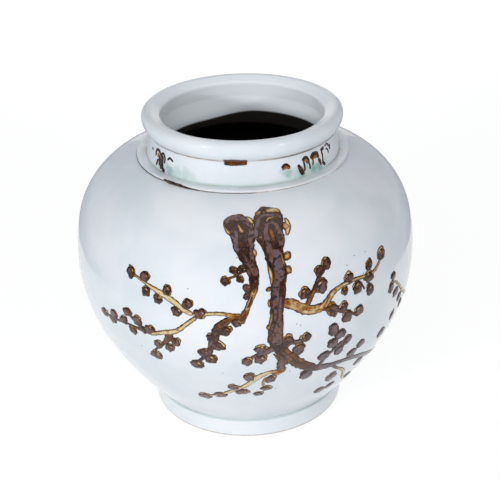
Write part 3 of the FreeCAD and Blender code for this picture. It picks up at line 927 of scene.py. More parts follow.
@dataclass(frozen=True)
class IronSlip:
    """Iron-bearing slip under the glaze: dark where it ends thin, cream to violet in its body.

    Its ranges run from the outline inwards, in widths of its dark edge.
    """

    name: str = "iron_slip"
    cream: Colour = paint(212, 198, 154)
    amber: Colour = paint(150, 94, 12)
    rust: Colour = paint(90, 46, 10)
    dark: Colour = paint(28, 15, 9)
    purple: Colour = paint(106, 71, 58)
    # Greyed violet at the top of the tones: the slip's own purple, and on the lower and right sprays a
    # painted reflection of the table in the glaze
    violet: Colour = paint(106, 94, 103)
    burnt: Colour = paint(32, 17, 7)
    edge_width: float = 1.25
    rust_range: Place = (0.9, 1.7)
    amber_range: Place = (1.2, 2.3)
    dark_range: Place = (0.35, 1.2)
    draw_out: float = 0.28
    blotch_swing: float = 0.72
    streak_swing: float = 0.55
    edge_swing: float = 1.5
    rough_range: Place = (0.10, 0.22)
    streak: Grain = Grain(520.0)
    blotch: Grain = Grain(240.0, 5.0, 0.65)
    fine: Grain = Grain(900.0, 4.0, 0.7)
    flake: Grain = Grain(190.0, 5.0, 0.65)

    def rim(self, graph: Graph, edge: Socket, reach: Place, strength: float) -> Socket:
        """Find a margin along the outline, strong at its outer side and gone at its inner side."""
        return graph.span(edge, reach[0] * self.edge_width, reach[1] * self.edge_width, strength, 0.0)

    def made(self) -> Material:
        """Build the slip's nodes.

        Returns:
            The material.
        """
        graph = Graph(bpy.data.materials.new(self.name))
        along = graph.math("MULTIPLY", graph.attribute("along"), self.draw_out)
        drawn = (along, graph.attribute("across"), graph.attribute("stroke"))
        streak = graph.noise(self.streak, graph.node("ShaderNodeCombineXYZ", *drawn).outputs[0])
        blotch = graph.noise(self.blotch)
        fine = graph.noise(self.fine)
        swings = (graph.swing(blotch, self.blotch_swing), graph.swing(streak, self.streak_swing))
        tone = graph.math("ADD", graph.attribute("tone"), graph.math("ADD", *swings))
        edge = graph.math("ADD", graph.attribute("edge"), graph.swing(blotch, self.edge_swing))
        colour = graph.ramp(tone, (
            (0.08, self.cream), (0.24, self.amber), (0.38, self.rust), (0.52, self.dark), (0.66, self.purple),
            (0.98, self.violet),
        ))
        flakes = graph.span(graph.noise(self.flake), 0.51, 0.58)
        flakes = graph.math("MULTIPLY", flakes, graph.span(tone, 0.45, 0.6, 0.0, 0.85))
        colour = graph.blend(flakes, colour, self.dark)
        colour = graph.blend(self.rim(graph, edge, self.rust_range, 0.55), colour, self.rust)
        thin = graph.span(tone, 0.12, 0.26, 1.0, 0.0)
        amber = graph.math("MULTIPLY", self.rim(graph, edge, self.amber_range, 0.75), thin)
        colour = graph.blend(amber, colour, self.amber)
        dark = self.rim(graph, edge, self.dark_range, 0.96)
        colour = graph.blend(dark, colour, self.burnt)
        colour = graph.blend(graph.span(fine, 0.30, 0.42, 0.55, 0.0), colour, self.burnt)
        light = graph.span(fine, 0.62, 0.75, 0.0, 0.35)
        light = graph.math("MULTIPLY", light, graph.math("SUBTRACT", 1.0, dark))
        colour = graph.blend(light, colour, self.cream)
        rough = graph.span(blotch, 0.3, 0.7, *self.rough_range)
        low = graph.bump(streak, strength=0.35, distance=0.0006)
        return graph.fired(colour, rough, graph.bump(fine, strength=0.22, distance=0.0004, under=low))


# Clay pieces


# Colours of the glaze where it pools or runs thin
celadon = paint(176, 205, 196)
teal = paint(120, 164, 158)
ochre = paint(150, 108, 58)
rim_brown = paint(168, 120, 70)


@dataclass
class Thrown:
    """A thrown section of the jar, spun from its outline and glazed."""

    form: JarForm
    name: str = ""
    nodes: tuple[str, ...] = ()
    sides: int = 192
    closed: bool = False
    sharp_angle: float = 40.0

    def outline(self) -> Section:
        """Draw the half section."""
        raise NotImplementedError

    def glaze(self) -> Glaze:
        """Choose the glaze."""
        raise NotImplementedError

    def build(self) -> bpy.types.Object:
        """Spin the outline and glaze it.

        Returns:
            The piece.
        """
        mesh = self.outline().spun(self.sides, self.closed)
        finish = self.glaze().made()
        return finished(self.name, mesh, finish, self.nodes, self.sharp_angle)


@dataclass
class Foot(Thrown):
    """Trimmed foot ring, glazed but for the rim it stands on."""

    name: str = "foot_glazed"
    nodes: tuple[str, ...] = ("foot_ring",)
    closed: bool = True
    edge_radius: float = 0.0025
    inner_edge_radius: float = 0.0018
    top_edge_radius: float = 0.0005
    top_upright: float = 0.0006
    flat_width: float = 0.006
    inner_share: float = 0.45

    def outline(self) -> Section:
        """Draw the ring.

        Returns:
            Its half section.
        """
        form = self.form
        inner = form.foot_inner_radius
        outer = form.foot_joint_radius + form.foot_overhang
        seat = form.base_radius + form.seam_film
        top = form.foot_height - form.seam_film
        shoulder = top - form.foot_overhang
        ring = Section(inner, form.recess_depth)
        ring.to(inner, form.recess_depth * self.inner_share, steps=4)
        ring.corner(inner, 0.0, self.inner_edge_radius, (outer, 0.0), steps=6)
        ring.to(outer - self.flat_width, 0.0, steps=3)
        ring.corner(outer, 0.0, self.edge_radius, (outer, shoulder), steps=8)
        ring.bow(outer, shoulder - self.top_upright, -form.foot_bulge, steps=10)
        ring.corner(outer, shoulder, self.top_edge_radius, (form.foot_joint_radius, top), steps=3)
        ring.to(form.foot_joint_radius, top, steps=2)
        return ring.to(seat, top).to(seat, form.recess_depth)

    def glaze(self) -> Glaze:
        """Glaze that pools under the joint and burns brown over the bare rim."""
        return Glaze("foot_glaze", paint(235, 239, 243), paint(226, 233, 238), bare_below=0.0012, bands=(
            Band(self.form.foot_height - 0.0009, 0.0008, 0.6, celadon),
            Band(0.0022, 0.0011, 0.6, rim_brown),
        ))


@dataclass
class Body(Thrown):
    """Two bowls luted rim to rim, one glazed wall with its floor, base and throat."""

    name: str = "body_glazed"
    nodes: tuple[str, ...] = ("lower_bowl", "shoulder_bowl")
    sides: int = 256
    throat_radius: float = 0.003
    outer_steps: tuple[int, int, int] = (44, 60, 44)

    def outline(self) -> Section:
        """Draw the wall, up the outside from the base and down the inside to the floor.

        Returns:
            Its half section.
        """
        form = self.form
        lower, belly, shoulder = form.wall
        thick = form.wall_thickness
        corner_arc = lower.radius - thick - form.floor_corner_radius
        corner_rise = form.floor_height + form.floor_corner_radius - lower.centre[1]
        corner_reach = math.sqrt(corner_arc ** 2 - corner_rise ** 2)
        corner = (lower.centre[0] + corner_reach, lower.centre[1] + corner_rise)
        lean = math.degrees(math.atan2(corner_rise, corner_reach))
        throat = form.bore_radius + self.throat_radius
        aside = throat - shoulder.centre[0]
        rise = math.sqrt((shoulder.radius - thick) ** 2 - max(aside, 0.0) ** 2)
        under = shoulder.centre[1] + rise

        wall = Section(0.0, form.recess_depth)
        wall.to(form.base_radius, form.recess_depth, steps=6)
        wall.to(form.base_radius, form.foot_height).to(form.foot_joint_radius, form.foot_height)
        for arc, steps in zip(form.wall, self.outer_steps):
            wall.turn(arc.centre, arc.end - arc.start, steps)
        wall.to(form.bore_radius + form.bore_margin, form.collar_height, steps=3)
        wall.indoors().to(form.bore_radius, form.collar_height)
        wall.to(form.bore_radius, under + self.throat_radius)
        wall.round((throat, under + self.throat_radius), (throat, under), steps=6)
        start = math.degrees(math.atan2(under - shoulder.centre[1], aside))
        wall.turn(shoulder.centre, shoulder.start - start, steps=26)
        wall.turn(belly.centre, belly.start - belly.end, steps=36)
        wall.turn(lower.centre, lean - lower.end, steps=24)
        wall.turn(corner, -90 - lean, steps=12)
        return wall.to(0.0, form.floor_height, steps=6)

    def glaze(self) -> Glaze:
        """Glaze that pools at the foot, with the inside painted near black as raw clay in painted shade."""
        pool = Band(self.form.foot_height + 0.0002, 0.0014, 0.45, celadon)
        return Glaze("body_glaze", shaded_raw_inside=True, bands=(pool,))


@dataclass
class Collar(Thrown):
    """Narrow band round the foot of the neck, with a ledge that falls into a groove."""

    name: str = "collar_glazed"
    nodes: tuple[str, ...] = ("collar_band",)
    closed: bool = True
    edge_radius: float = 0.0011
    upright: float = 0.0008

    def outline(self) -> Section:
        """Draw the band.

        Returns:
            Its half section.
        """
        form = self.form
        inner = form.neck_base_radius + form.seam_film
        band = Section(inner, form.collar_height)
        band.to(form.collar_radius, form.collar_height, steps=2)
        band.to(form.collar_radius, form.collar_height + self.upright, steps=2)
        groove = (inner, form.groove_height)
        band.corner(form.collar_radius, form.collar_top, self.edge_radius, groove, steps=6)
        return band.to(*groove, steps=4)

    def glaze(self) -> Glaze:
        """Glaze with broken iron lines at its joint and its edge."""
        return Glaze("collar_glaze", bands=(
            Band(self.form.collar_height + 0.0002, 0.0011, 0.8, ochre, 0.42),
            Band(self.form.collar_top - 0.0006, 0.0005, 0.4, ochre, 0.5),
        ))


@dataclass
class Neck(Thrown):
    """Short waisted neck."""

    name: str = "neck_glazed"
    nodes: tuple[str, ...] = ("neck_wall",)

    def outline(self) -> Section:
        """Draw the neck.

        Returns:
            Its half section.
        """
        form = self.form
        neck = Section(form.bore_radius, form.collar_height, 1.0)
        neck.to(form.neck_base_radius, form.collar_height)
        neck.to(form.neck_base_radius, form.groove_height)
        neck.bow(form.neck_top_radius, form.neck_top_height, form.neck_waist, steps=18)
        neck.to(form.bore_radius + form.bore_margin, form.neck_top_height)
        neck.indoors().to(form.bore_radius, form.neck_top_height)
        return neck.to(form.bore_radius, form.collar_height, steps=6)

    def glaze(self) -> Glaze:
        """Glaze that pools green in the groove and round the curls, whitened inside as painted light and
        darkened inside below a slanted line as painted shade.

        Returns:
            The glaze, with its washes from rows of an angle, a height, a reach, a strength and a colour.
        """
        form = self.form
        rows = (
            (-52.0, 0.278, 0.008, 0.75, celadon), (-47.0, 0.274, 0.007, 0.7, teal),
            (-41.5, 0.275, 0.008, 0.6, celadon), (-35.0, 0.276, 0.008, 0.55, celadon),
            (-30.0, 0.275, 0.006, 0.35, celadon), (23.0, 0.280, 0.005, 0.5, celadon),
            (26.5, 0.277, 0.006, 0.6, teal), (31.0, 0.276, 0.008, 0.55, celadon),
            (36.0, 0.275, 0.008, 0.6, teal), (40.5, 0.277, 0.009, 0.75, celadon),
            (45.0, 0.275, 0.006, 0.8, teal), (50.0, 0.274, 0.006, 0.75, teal),
            (56.0, 0.276, 0.006, 0.5, celadon),
        )
        # Painted light whitens the inside of the neck; painted shade darkens it below a line that rises to
        # the right
        return Glaze(
            "neck_glaze", radius=form.neck_base_radius, shaded_raw_inside=True, shade_below=0.2705,
            painted_light_within=form.neck_base_radius - 0.004, washes=tuple(Wash(*row) for row in rows), bands=(
                Band(form.groove_height, 0.0024, 0.85, celadon),
                Band(form.neck_top_height, 0.0010, 0.8, ochre, 0.44),
            ),
        )


@dataclass
class Lip(Thrown):
    """Thick rolled lip with an undercut flank and a bevel that falls into the mouth."""

    name: str = "lip_glazed"
    nodes: tuple[str, ...] = ("rolled_lip",)

    def outline(self) -> Section:
        """Draw the lip.

        Returns:
            Its half section.
        """
        form = self.form
        roll = form.roll_centre
        bevel_way = math.radians(90 + form.lip_bevel_angle)
        out = (math.cos(bevel_way), math.sin(bevel_way))
        edge = form.mouth_edge_radius
        edge_reach = form.mouth_radius + edge
        level = out[0] * roll[0] + out[1] * roll[1] + form.lip_roll_radius
        edge_height = (level - edge - out[0] * edge_reach) / out[1]

        lip = Section(form.bore_radius, form.neck_top_height, 1.0)
        lip.to(form.bore_radius + form.bore_margin, form.neck_top_height)
        lip.to(form.neck_top_radius, form.neck_top_height, steps=2)
        lip.round(form.lip_flank.centre, (form.lip_radius, roll[1]), steps=16)
        lip.turn(roll, 90 + form.lip_bevel_angle, steps=18)
        lip.to(edge_reach + out[0] * edge, edge_height + out[1] * edge, steps=6)
        lip.round((edge_reach, edge_height), (form.mouth_radius, edge_height), steps=8)
        return lip.indoors().to(form.bore_radius, form.neck_top_height, steps=6)

    def glaze(self) -> Glaze:
        """Glaze that runs thin over the roll, with iron under it, whitened as painted light on the bevel and
        inside the mouth.

        Returns:
            The glaze, with its washes from rows of an angle, a height, a reach and a strength.
        """
        form = self.form
        rows = (
            (29.0, 0.2945, 0.0030, 0.8), (46.0, 0.2960, 0.0030, 0.7), (62.0, 0.2945, 0.0034, 0.8),
            (67.0, 0.2945, 0.0030, 0.7),
        )
        # Painted light whitens the bevel and the inside of the mouth, within the roll's centre
        return Glaze(
            "lip_glaze", radius=form.neck_top_radius, painted_light_within=form.roll_centre[0],
            washes=tuple(Wash(*row, ochre) for row in rows),
            bands=(Band(form.neck_top_height + 0.0008, 0.0022, 0.8, ochre, 0.43),),
        )


# The painted branch


class Face(Enum):
    """Painted faces of the jar."""

    WALL = "wall"
    NECK = "neck"
    LIP = "lip"
    COLLAR = "collar"


class Notch(Enum):
    """Sides of a bud that its notch of light slip can lie on, each by its direction in degrees."""

    RIGHT = 45.0
    LEFT = 120.0


@dataclass(frozen=True)
class Stroke:
    """A stroke through points of an angle, a share up the surface and a share of the brush's full width."""

    points: Points
    tones: Sequence[float] = (0.6,)
    height: float = 0.00062
    edge: float = 1.0
    sink: float = 0.0


@dataclass(frozen=True)
class Limb:
    """A broad limb through rows of a share up the wall with its left and right angles."""

    rows: Points
    tones: Sequence[float] = (0.8,)
    height: float = 0.00055
    edge: float = 1.0


class Path:
    """The course of a stroke over its surface, by the length gone along it."""

    def __init__(self, surface: Surface, points: Points, full_angle: float) -> None:
        """Measure the course.

        Args:
            surface: The painted surface.
            points: The stroke's points.
            full_angle: Full width of the brush.
        """
        self.points = points
        self.runs = [surface.length_between(start, end) for start, end in zip(points, points[1:])]
        self.length = sum(self.runs)
        self.stops = [sum(self.runs[:index]) / self.length for index in range(len(points))]
        ends = [full_angle * points[i][2] / 2 * surface.degree(points[i][1]) for i in (0, -1)]
        self.half = [min(end, self.length / 2.2) for end in ends]

    def at(self, share: float) -> tuple[float, ...]:
        """Find the stroke's middle.

        Args:
            share: Share of the length.

        Returns:
            Its angle, its share up the surface and its width there.
        """
        share = min(max(share, 0.0), 1.0)
        last = len(self.stops) - 2
        index = next((i for i in range(last) if share <= self.stops[i + 1]), last)
        part = (share - self.stops[index]) / (self.stops[index + 1] - self.stops[index])
        return curve_through(self.points, (index + part) / (last + 1))

    def ring(self, ring: int, middle: int, cap: int) -> tuple[float, float]:
        """Find where a ring of the stroke's mesh lies.

        Args:
            ring: Its number.
            middle: Number of rings between the two round ends.
            cap: Number of rings of each end.

        Returns:
            The length gone there, and how full the stroke is.
        """
        if ring <= cap:
            turn = math.pi / 2 * ring / cap
            return self.half[0] * (1 - math.cos(turn)), math.sin(turn)
        if ring >= middle + cap:
            turn = math.pi / 2 * (middle + 2 * cap - ring) / cap
            return self.length - self.half[1] * (1 - math.cos(turn)), math.sin(turn)
        return self.half[0] + (self.length - self.half[0] - self.half[1]) * (ring - cap) / middle, 1.0


class SlipBrush:
    """Lays strokes and dabs of slip on one surface, all in one mesh.

    Each is a ball that is pressed flat, with its underside a bite deep in the clay.
    """

    bite = 0.0002
    millimetres = 1000
    stroke_number_step = 0.37
    # How much a stroke's width and height change along it, and how often in a metre
    width_swings = ((0.22, 330), (0.16, 900))
    height_swing, height_rate = 0.35, 160
    least_height_share = 0.8
    full_height_width = 0.0011
    # The meshes: lengths of a ring, and sides and rings of wide and fine strokes and dabs
    stroke_ring_length = 0.0013
    limb_ring_length = 0.0011
    cap_rings = 4
    limb_sides = 44
    fine_width = 0.004
    stroke_sides, fine_sides = 16, 12
    small_dab_size = 0.006
    dab_mesh, small_dab_mesh = (24, 16), (14, 8)
    # A limb's round end, the slope at its edge, how uneven its outline is and how often
    limb_end = 0.002
    limb_edge = 0.0014
    limb_swing = 0.0009
    thinnest_limb = 0.0005
    limb_rates = (70, 200)

    def __init__(self, surface: Surface, seed: int, full_angle: float) -> None:
        """Take up the brush.

        Args:
            surface: The painted surface.
            seed: Seed of its random draws.
            full_angle: Its full width.
        """
        self.surface = surface
        self.full_angle = full_angle
        self.random = random.Random(seed)
        self.mesh = bmesh.new()
        floats = self.mesh.verts.layers.float
        self.layers = {name: floats.new(name) for name in ("edge", "tone", "along", "across", "stroke")}
        self.count = 0

    def _ball(self, rings: int, sides: int) -> list[tuple[bmesh.types.BMVert, int, float, float]]:
        """Add a ball to be pressed into a stroke.

        Args:
            rings: Steps from its first pole to its last.
            sides: Steps round it.

        Returns:
            Its vertices, each with its ring, how far it lies to the right and how far it stands up.
        """
        made = bmesh.ops.create_uvsphere(self.mesh, u_segments=sides, v_segments=rings, radius=1.0)
        self.count += 1
        parts = []
        for vert in made["verts"]:
            ring = round(math.acos(max(-1.0, min(1.0, vert.co.z))) / math.pi * rings)
            angle = math.atan2(vert.co.y, vert.co.x)
            parts.append((vert, ring, math.cos(angle), math.sin(angle)))
        return parts

    def _set(self, vert: bmesh.types.BMVert, gap: float, **values: float) -> None:
        """Paint values on a vertex.

        Args:
            vert: The vertex.
            gap: How far it lies inside the outline, in millimetres of a stroke with an edge of 1.
            values: Other values by the names of their layers.
        """
        for name, value in values.items():
            vert[self.layers[name]] = value
        vert[self.layers["edge"]] = gap
        vert[self.layers["stroke"]] = self.count * self.stroke_number_step

    def _wander(self, where: float, side: float) -> float:
        """A small uneven number that changes along a stroke's side."""
        return noise.noise(Vector((where, side * 3.1, self.count * 1.7)))

    def stroke(self, stroke: Stroke) -> None:
        """Lay one stroke of the brush.

        Args:
            stroke: The stroke.
        """
        surface = self.surface
        span = surface.span_angle
        path = Path(surface, stroke.points, self.full_angle)
        cap = self.cap_rings
        middle = max(cap, round(path.length / self.stroke_ring_length))
        first = stroke.points[0]
        widest = max(point[2] for point in stroke.points) * self.full_angle * surface.degree(first[1])
        sides = self.fine_sides if widest < self.fine_width else self.stroke_sides
        for vert, number, aside, raised in self._ball(middle + 2 * cap, sides):
            gone, full = path.ring(number, middle, cap)
            share = gone / path.length
            around, up, width = path.at(share)
            before, after = path.at(share - 0.01), path.at(share + 0.01)
            squeeze = surface.squeeze(up)
            run = Vector(((after[0] - before[0]) * squeeze, (after[1] - before[1]) * span)).normalized()
            degree = surface.degree(up)
            half_width = width * self.full_angle / 2 * degree
            rough = sum((swing * self._wander(gone * rate, aside) for swing, rate in self.width_swings), 1)
            reach = half_width * full * rough
            offset = aside * reach / degree
            place = (around + run.y * offset / squeeze, up - run.x * offset / span)
            swing = self.height_swing * self._wander(gone * self.height_rate, 0.0)
            thin = min(1.0, half_width / self.full_height_width)
            swell = stroke.height * (self.least_height_share + swing) * thin
            lift = swell * abs(raised) ** 0.75 * full ** 0.7 if raised > 0.01 else -self.bite * abs(raised)
            vert.co = surface.at(*place, lift + stroke.sink)
            gap = min(reach * (1 - abs(aside)), min(gone, path.length - gone))
            gap *= self.millimetres * stroke.edge
            self._set(vert, gap, tone=mixed(stroke.tones, share), along=gone, across=aside * reach)

    def limb(self, limb: Limb) -> None:
        """Lay a broad limb between two outlines.

        Args:
            limb: The limb.
        """
        surface = self.surface
        rows = limb.rows
        length = (rows[0][0] - rows[-1][0]) * surface.length
        rings = round(length / self.limb_ring_length)
        for vert, ring, aside, raised in self._ball(rings, self.limb_sides):
            share = ring / rings
            up, left, right = curve_through(rows, share)
            half = (right - left) / 2 * surface.squeeze(up) * surface.degree(up)
            ends = min(share, 1 - share) * length
            full = math.sqrt(1 - max(0.0, 1 - ends / self.limb_end) ** 2)
            away = math.acos(max(-1.0, min(1.0, -aside))) / math.pi * 2 - 1
            spread = math.copysign(abs(away) ** 0.9, aside)
            broad, narrow = (self._wander(up * rate, aside) for rate in self.limb_rates)
            rough = 1 + self.limb_swing / max(half, self.thinnest_limb) * (broad + 0.6 * narrow)
            reach = half * spread * full * rough
            around = (left + right) / 2 + reach / surface.degree(up) / surface.squeeze(up)
            gap = max(0.0, min(half * (1 - abs(spread)) * rough, ends))
            lift = limb.height * ease(-self.bite, self.limb_edge, gap) if raised > 0.001 else -self.bite
            vert.co = surface.at(around, up, lift)
            gap *= self.millimetres * limb.edge
            self._set(vert, gap, tone=mixed(limb.tones, share), along=(1 - share) * length, across=reach)

    def dab(
        self, around: float, share: float, turn: float, long: float, wide: float, tone: float,
        height: float = 0.0008, edge: float = 1.0, ragged: float = 0.09,
    ) -> None:
        """Lay one dab of the brush.

        Args:
            around: Angle round the jar.
            share: Share up the surface.
            turn: Turn of its longer side from level, in degrees.
            long: Its length, in degrees of the drawing.
            wide: Its width, in degrees of the drawing.
            tone: Its tone, 0 cream to 1 violet.
            height: How far it stands up.
            edge: How quickly its dark outline gives way to its body.
            ragged: How uneven its outline is.
        """
        surface = self.surface
        degree = surface.degree(share)
        swing = math.radians(turn)
        large = max(long, wide) * degree > self.small_dab_size
        sides, rings = self.dab_mesh if large else self.small_dab_mesh
        lean = self.random.uniform(-0.2, 0.2)
        for vert, ring, aside, raised in self._ball(rings, sides):
            polar = math.pi * ring / rings
            x, y = math.cos(polar), math.sin(polar) * aside
            radial = min(1.0, math.hypot(x, y))
            way = math.atan2(y, x)
            broad = noise.noise(Vector((math.cos(way) * 1.3, math.sin(way) * 1.3, self.count * 2.3)))
            narrow = noise.noise(Vector((math.cos(way) * 3.5, math.sin(way) * 3.5, self.count)))
            uneven = 1 + ragged * broad + 0.45 * ragged * narrow
            away = (x * long / 2 * uneven, y * wide / 2 * uneven)
            place = (
                around + (away[0] * math.cos(swing) - away[1] * math.sin(swing)) / surface.squeeze(share),
                share + (away[0] * math.sin(swing) + away[1] * math.cos(swing)) / surface.span_angle,
            )
            dome = (1 - radial ** 2.6) ** 0.55
            lift = height * dome * (1 + lean * x) if raised > 0.01 else -self.bite * (1 - radial)
            vert.co = surface.at(*place, lift)
            gap = (1 - radial) * min(long, wide) / 2 * degree
            self._set(
                vert, gap * self.millimetres * edge, tone=tone + 0.1 * lean,
                along=away[0] * degree, across=away[1] * degree,
            )

    def bud(self, around: float, share: float, turn: float, size: float, tone: float, notch: Notch) -> None:
        """Lay a bud: a thin halo, the bud itself and, on most, a notch of light slip.

        Args:
            around: Angle round the jar.
            share: Share up the wall.
            turn: Turn of its longer side from level, in degrees.
            size: Share of the full size of a bud.
            tone: Tone of its body.
            notch: Side of its light notch.
        """
        long, wide = bud_length_angle * size, bud_width_angle * size
        pick = self.random
        way = math.radians(notch.value + pick.uniform(-25, 25))
        # Painted reflection: a bud of high tone has its halo and notch raised towards violet too, greying the
        # whole bud as a reflection in the glaze would
        veil_tone = 0.55 if tone > 0.8 else 0.0

        def towards(shift: float) -> Place:
            """Place that lies off the bud's middle towards its notch."""
            return (
                around + shift * math.cos(way) / self.surface.squeeze(share),
                share + shift * math.sin(way) / self.surface.span_angle,
            )

        self.dab(
            *towards(0.10 * long), turn, long * 1.03, wide * 1.03, pick.uniform(0.05, 0.25) + veil_tone,
            height=0.00035, edge=1.6, ragged=0.3,
        )
        self.dab(
            around, share, turn, long * 0.99, wide * 0.99, tone + pick.uniform(-0.06, 0.12),
            height=0.0009, edge=0.9, ragged=0.36,
        )
        if pick.random() < 0.72:
            self.dab(
                *towards(pick.uniform(0.24, 0.32) * long), notch.value + 90, long * pick.uniform(0.3, 0.5),
                wide * pick.uniform(0.16, 0.26), pick.uniform(-0.05, 0.2) + veil_tone,
                height=0.00095, edge=3.0, ragged=0.2,
            )

    def done(self) -> bmesh.types.BMesh:
        """Turn all faces outwards and hand over the mesh."""
        bmesh.ops.recalc_face_normals(self.mesh, faces=self.mesh.faces[:])
        return self.mesh


# Widest stroke and one bud, as angles round the belly or the neck
trunk_angle = 4.86
neck_stroke_angle = 2.3
bud_length_angle = 3.65
bud_width_angle = 3.12

# Broad limbs: wall share, left angle and right angle
trunk_row_shares = (
    (0.941, 7.2, 8.6), (0.932, 6, 12.6), (0.92, 4.5, 14.6), (0.905, 3.7, 15.4), (0.89, 3.6, 15.2),
    (0.87, 3.6, 14.6), (0.845, 4.2, 13.9), (0.832, 3.9, 14.2), (0.815, 5.2, 13.7), (0.795, 6, 13.1),
    (0.765, 6.8, 13), (0.735, 7.4, 13.5), (0.7, 7.7, 12.8), (0.65, 7.3, 12.2), (0.59, 6.9, 11.1),
    (0.545, 6.4, 11.2), (0.52, 6.1, 11.5), (0.5, 6.7, 12.6), (0.48, 7.9, 13), (0.455, 9.3, 14.6),
    (0.43, 9.9, 16.6),
)
left_limb_row_shares = (
    (0.918, -2.8, -0.8), (0.91, -5.2, 0.6), (0.902, -6.8, 3.3), (0.89, -8, 3.6), (0.87, -7.2, 3.6),
    (0.845, -5.2, 4.2), (0.832, -4.6, 3.9), (0.815, -4.1, 3.2), (0.8, -3.5, 3.7), (0.77, -1.3, 3.8),
    (0.74, 0.3, 4.3), (0.715, 0.9, 4.4), (0.69, 1.2, 4), (0.665, 0.8, 2.9), (0.64, -0.2, 1.8),
    (0.615, -1.5, 0.8), (0.595, -2.1, 0.1), (0.578, -1.6, -0.7),
)

# Strokes: angle, wall share and share of the trunk's width
root_shares = (
    (12, 0.455, 0.9), (14.8, 0.428, 0.9), (17.5, 0.402, 0.85), (20.5, 0.379, 0.8), (23.5, 0.363, 0.72),
    (28, 0.353, 0.62), (33, 0.35, 0.52), (38, 0.344, 0.48), (44, 0.328, 0.5), (50, 0.303, 0.52),
    (56, 0.275, 0.5), (61, 0.252, 0.45),
)
root_stub_shares = ((11.1, 0.44, 0.55), (10.9, 0.415, 0.6), (11, 0.385, 0.6))
low_centre_shares = (
    (11.2, 0.383, 0.35), (8.5, 0.383, 0.33), (6, 0.375, 0.42), (3.5, 0.36, 0.48), (1, 0.332, 0.42),
    (-1.5, 0.308, 0.42), (-4, 0.293, 0.38), (-7.5, 0.268, 0.33), (-11, 0.246, 0.3), (-14, 0.236, 0.28),
    (-17, 0.224, 0.25),
)
low_centre_hook_shares = ((12.2, 0.4, 0.3), (11.6, 0.382, 0.4), (10, 0.373, 0.45), (8, 0.37, 0.4))
low_centre_drop_shares = ((6.2, 0.355, 0.2), (5.3, 0.33, 0.2), (5.4, 0.305, 0.2))
low_left_twig_shares = ((8.6, 0.487, 0.55), (6, 0.474, 0.5), (3.8, 0.465, 0.35), (1.2, 0.452, 0.25))
small_twig_shares = ((0.9, 0.747, 0.16), (-1.5, 0.739, 0.18), (-4, 0.726, 0.18), (-7.5, 0.716, 0.16))
left_main_shares = (
    (-1.4, 0.603, 0.6), (-3.4, 0.604, 0.45), (-6, 0.61, 0.33), (-9, 0.612, 0.27), (-13, 0.607, 0.3),
    (-16.5, 0.6, 0.3),
)
left_upper_shares = (
    (-16.5, 0.602, 0.35), (-19.5, 0.614, 0.4), (-22.5, 0.633, 0.45), (-26, 0.649, 0.42),
    (-29.5, 0.66, 0.36),
    (-33, 0.672, 0.24), (-36, 0.682, 0.2), (-38.5, 0.686, 0.2),
)
left_lower_shares = (
    (-15.5, 0.593, 0.3), (-18.5, 0.567, 0.33), (-21.5, 0.539, 0.35), (-24.5, 0.525, 0.42),
    (-28, 0.514, 0.34),
    (-31.5, 0.502, 0.32), (-36, 0.502, 0.24), (-40, 0.505, 0.2), (-44, 0.501, 0.2),
    (-49, 0.496, 0.24),
    (-54, 0.495, 0.22),
)
left_lower_side_shares = ((-34.5, 0.506, 0.35), (-37.5, 0.528, 0.35), (-40.5, 0.547, 0.2))
left_drop_shares = (
    (-24.4, 0.522, 0.6), (-25.6, 0.497, 0.5), (-27.5, 0.473, 0.28), (-29.5, 0.454, 0.2), (-31.5, 0.435, 0.16),
)
hanging_shares = (
    (-3.8, 0.601, 0.4), (-6, 0.588, 0.5), (-7.9, 0.57, 0.68), (-9.4, 0.545, 0.62), (-10.3, 0.515, 0.6),
    (-11.4, 0.485, 0.42), (-12.3, 0.46, 0.4), (-14.3, 0.442, 0.28), (-16.2, 0.425, 0.26),
)
right_main_shares = (
    (11.2, 0.64, 0.75), (14, 0.632, 0.74), (16.2, 0.62, 0.72), (18.5, 0.606, 0.7), (21, 0.6, 0.68),
    (23.2, 0.603, 0.64), (25, 0.611, 0.56), (26.4, 0.626, 0.48), (28.2, 0.643, 0.42), (31, 0.653, 0.34),
    (35, 0.658, 0.32), (39, 0.656, 0.28), (43, 0.652, 0.26), (46, 0.66, 0.26), (49, 0.683, 0.2),
)
right_rising_shares = ((18.4, 0.61, 0.4), (20.3, 0.645, 0.36), (21.8, 0.668, 0.36), (23.6, 0.702, 0.3))
right_short_shares = ((36.5, 0.655, 0.25), (38.7, 0.637, 0.16), (40.2, 0.613, 0.14))
bud_chain_shares = (
    (23.6, 0.597, 0.3), (26.5, 0.59, 0.34), (29.6, 0.577, 0.32), (32.5, 0.562, 0.32), (35.5, 0.545, 0.22),
    (37.5, 0.532, 0.2),
)
low_pair_shares = ((12.6, 0.498, 0.34), (15.2, 0.498, 0.36), (17.8, 0.501, 0.3))
low_right_shares = (
    (25, 0.372, 0.32), (26.4, 0.397, 0.34), (28.5, 0.42, 0.28), (30.6, 0.436, 0.34), (32.6, 0.45, 0.36),
)
low_right_side_shares = ((30.4, 0.436, 0.22), (29.8, 0.465, 0.24), (29.6, 0.495, 0.24))
root_bud_twig_shares = ((38.8, 0.348, 0.55), (39.4, 0.366, 0.5), (40.4, 0.386, 0.3))
low_twig_shares = (
    (31, 0.345, 0.3), (33.5, 0.32, 0.28), (37, 0.296, 0.28), (39.8, 0.266, 0.28), (41.2, 0.236, 0.26),
    (43, 0.208, 0.26), (46, 0.186, 0.26),
)
side_branch_shares = (
    (60.4, 0.254, 0.42), (68, 0.236, 0.38), (76, 0.243, 0.34), (83, 0.272, 0.32), (89, 0.318, 0.3),
    (92, 0.352, 0.28), (90, 0.368, 0.28), (84, 0.394, 0.28), (78, 0.421, 0.28), (72, 0.452, 0.28),
    (67, 0.484, 0.27), (63, 0.514, 0.25), (60, 0.544, 0.22), (57.5, 0.565, 0.2), (54, 0.581, 0.16),
)

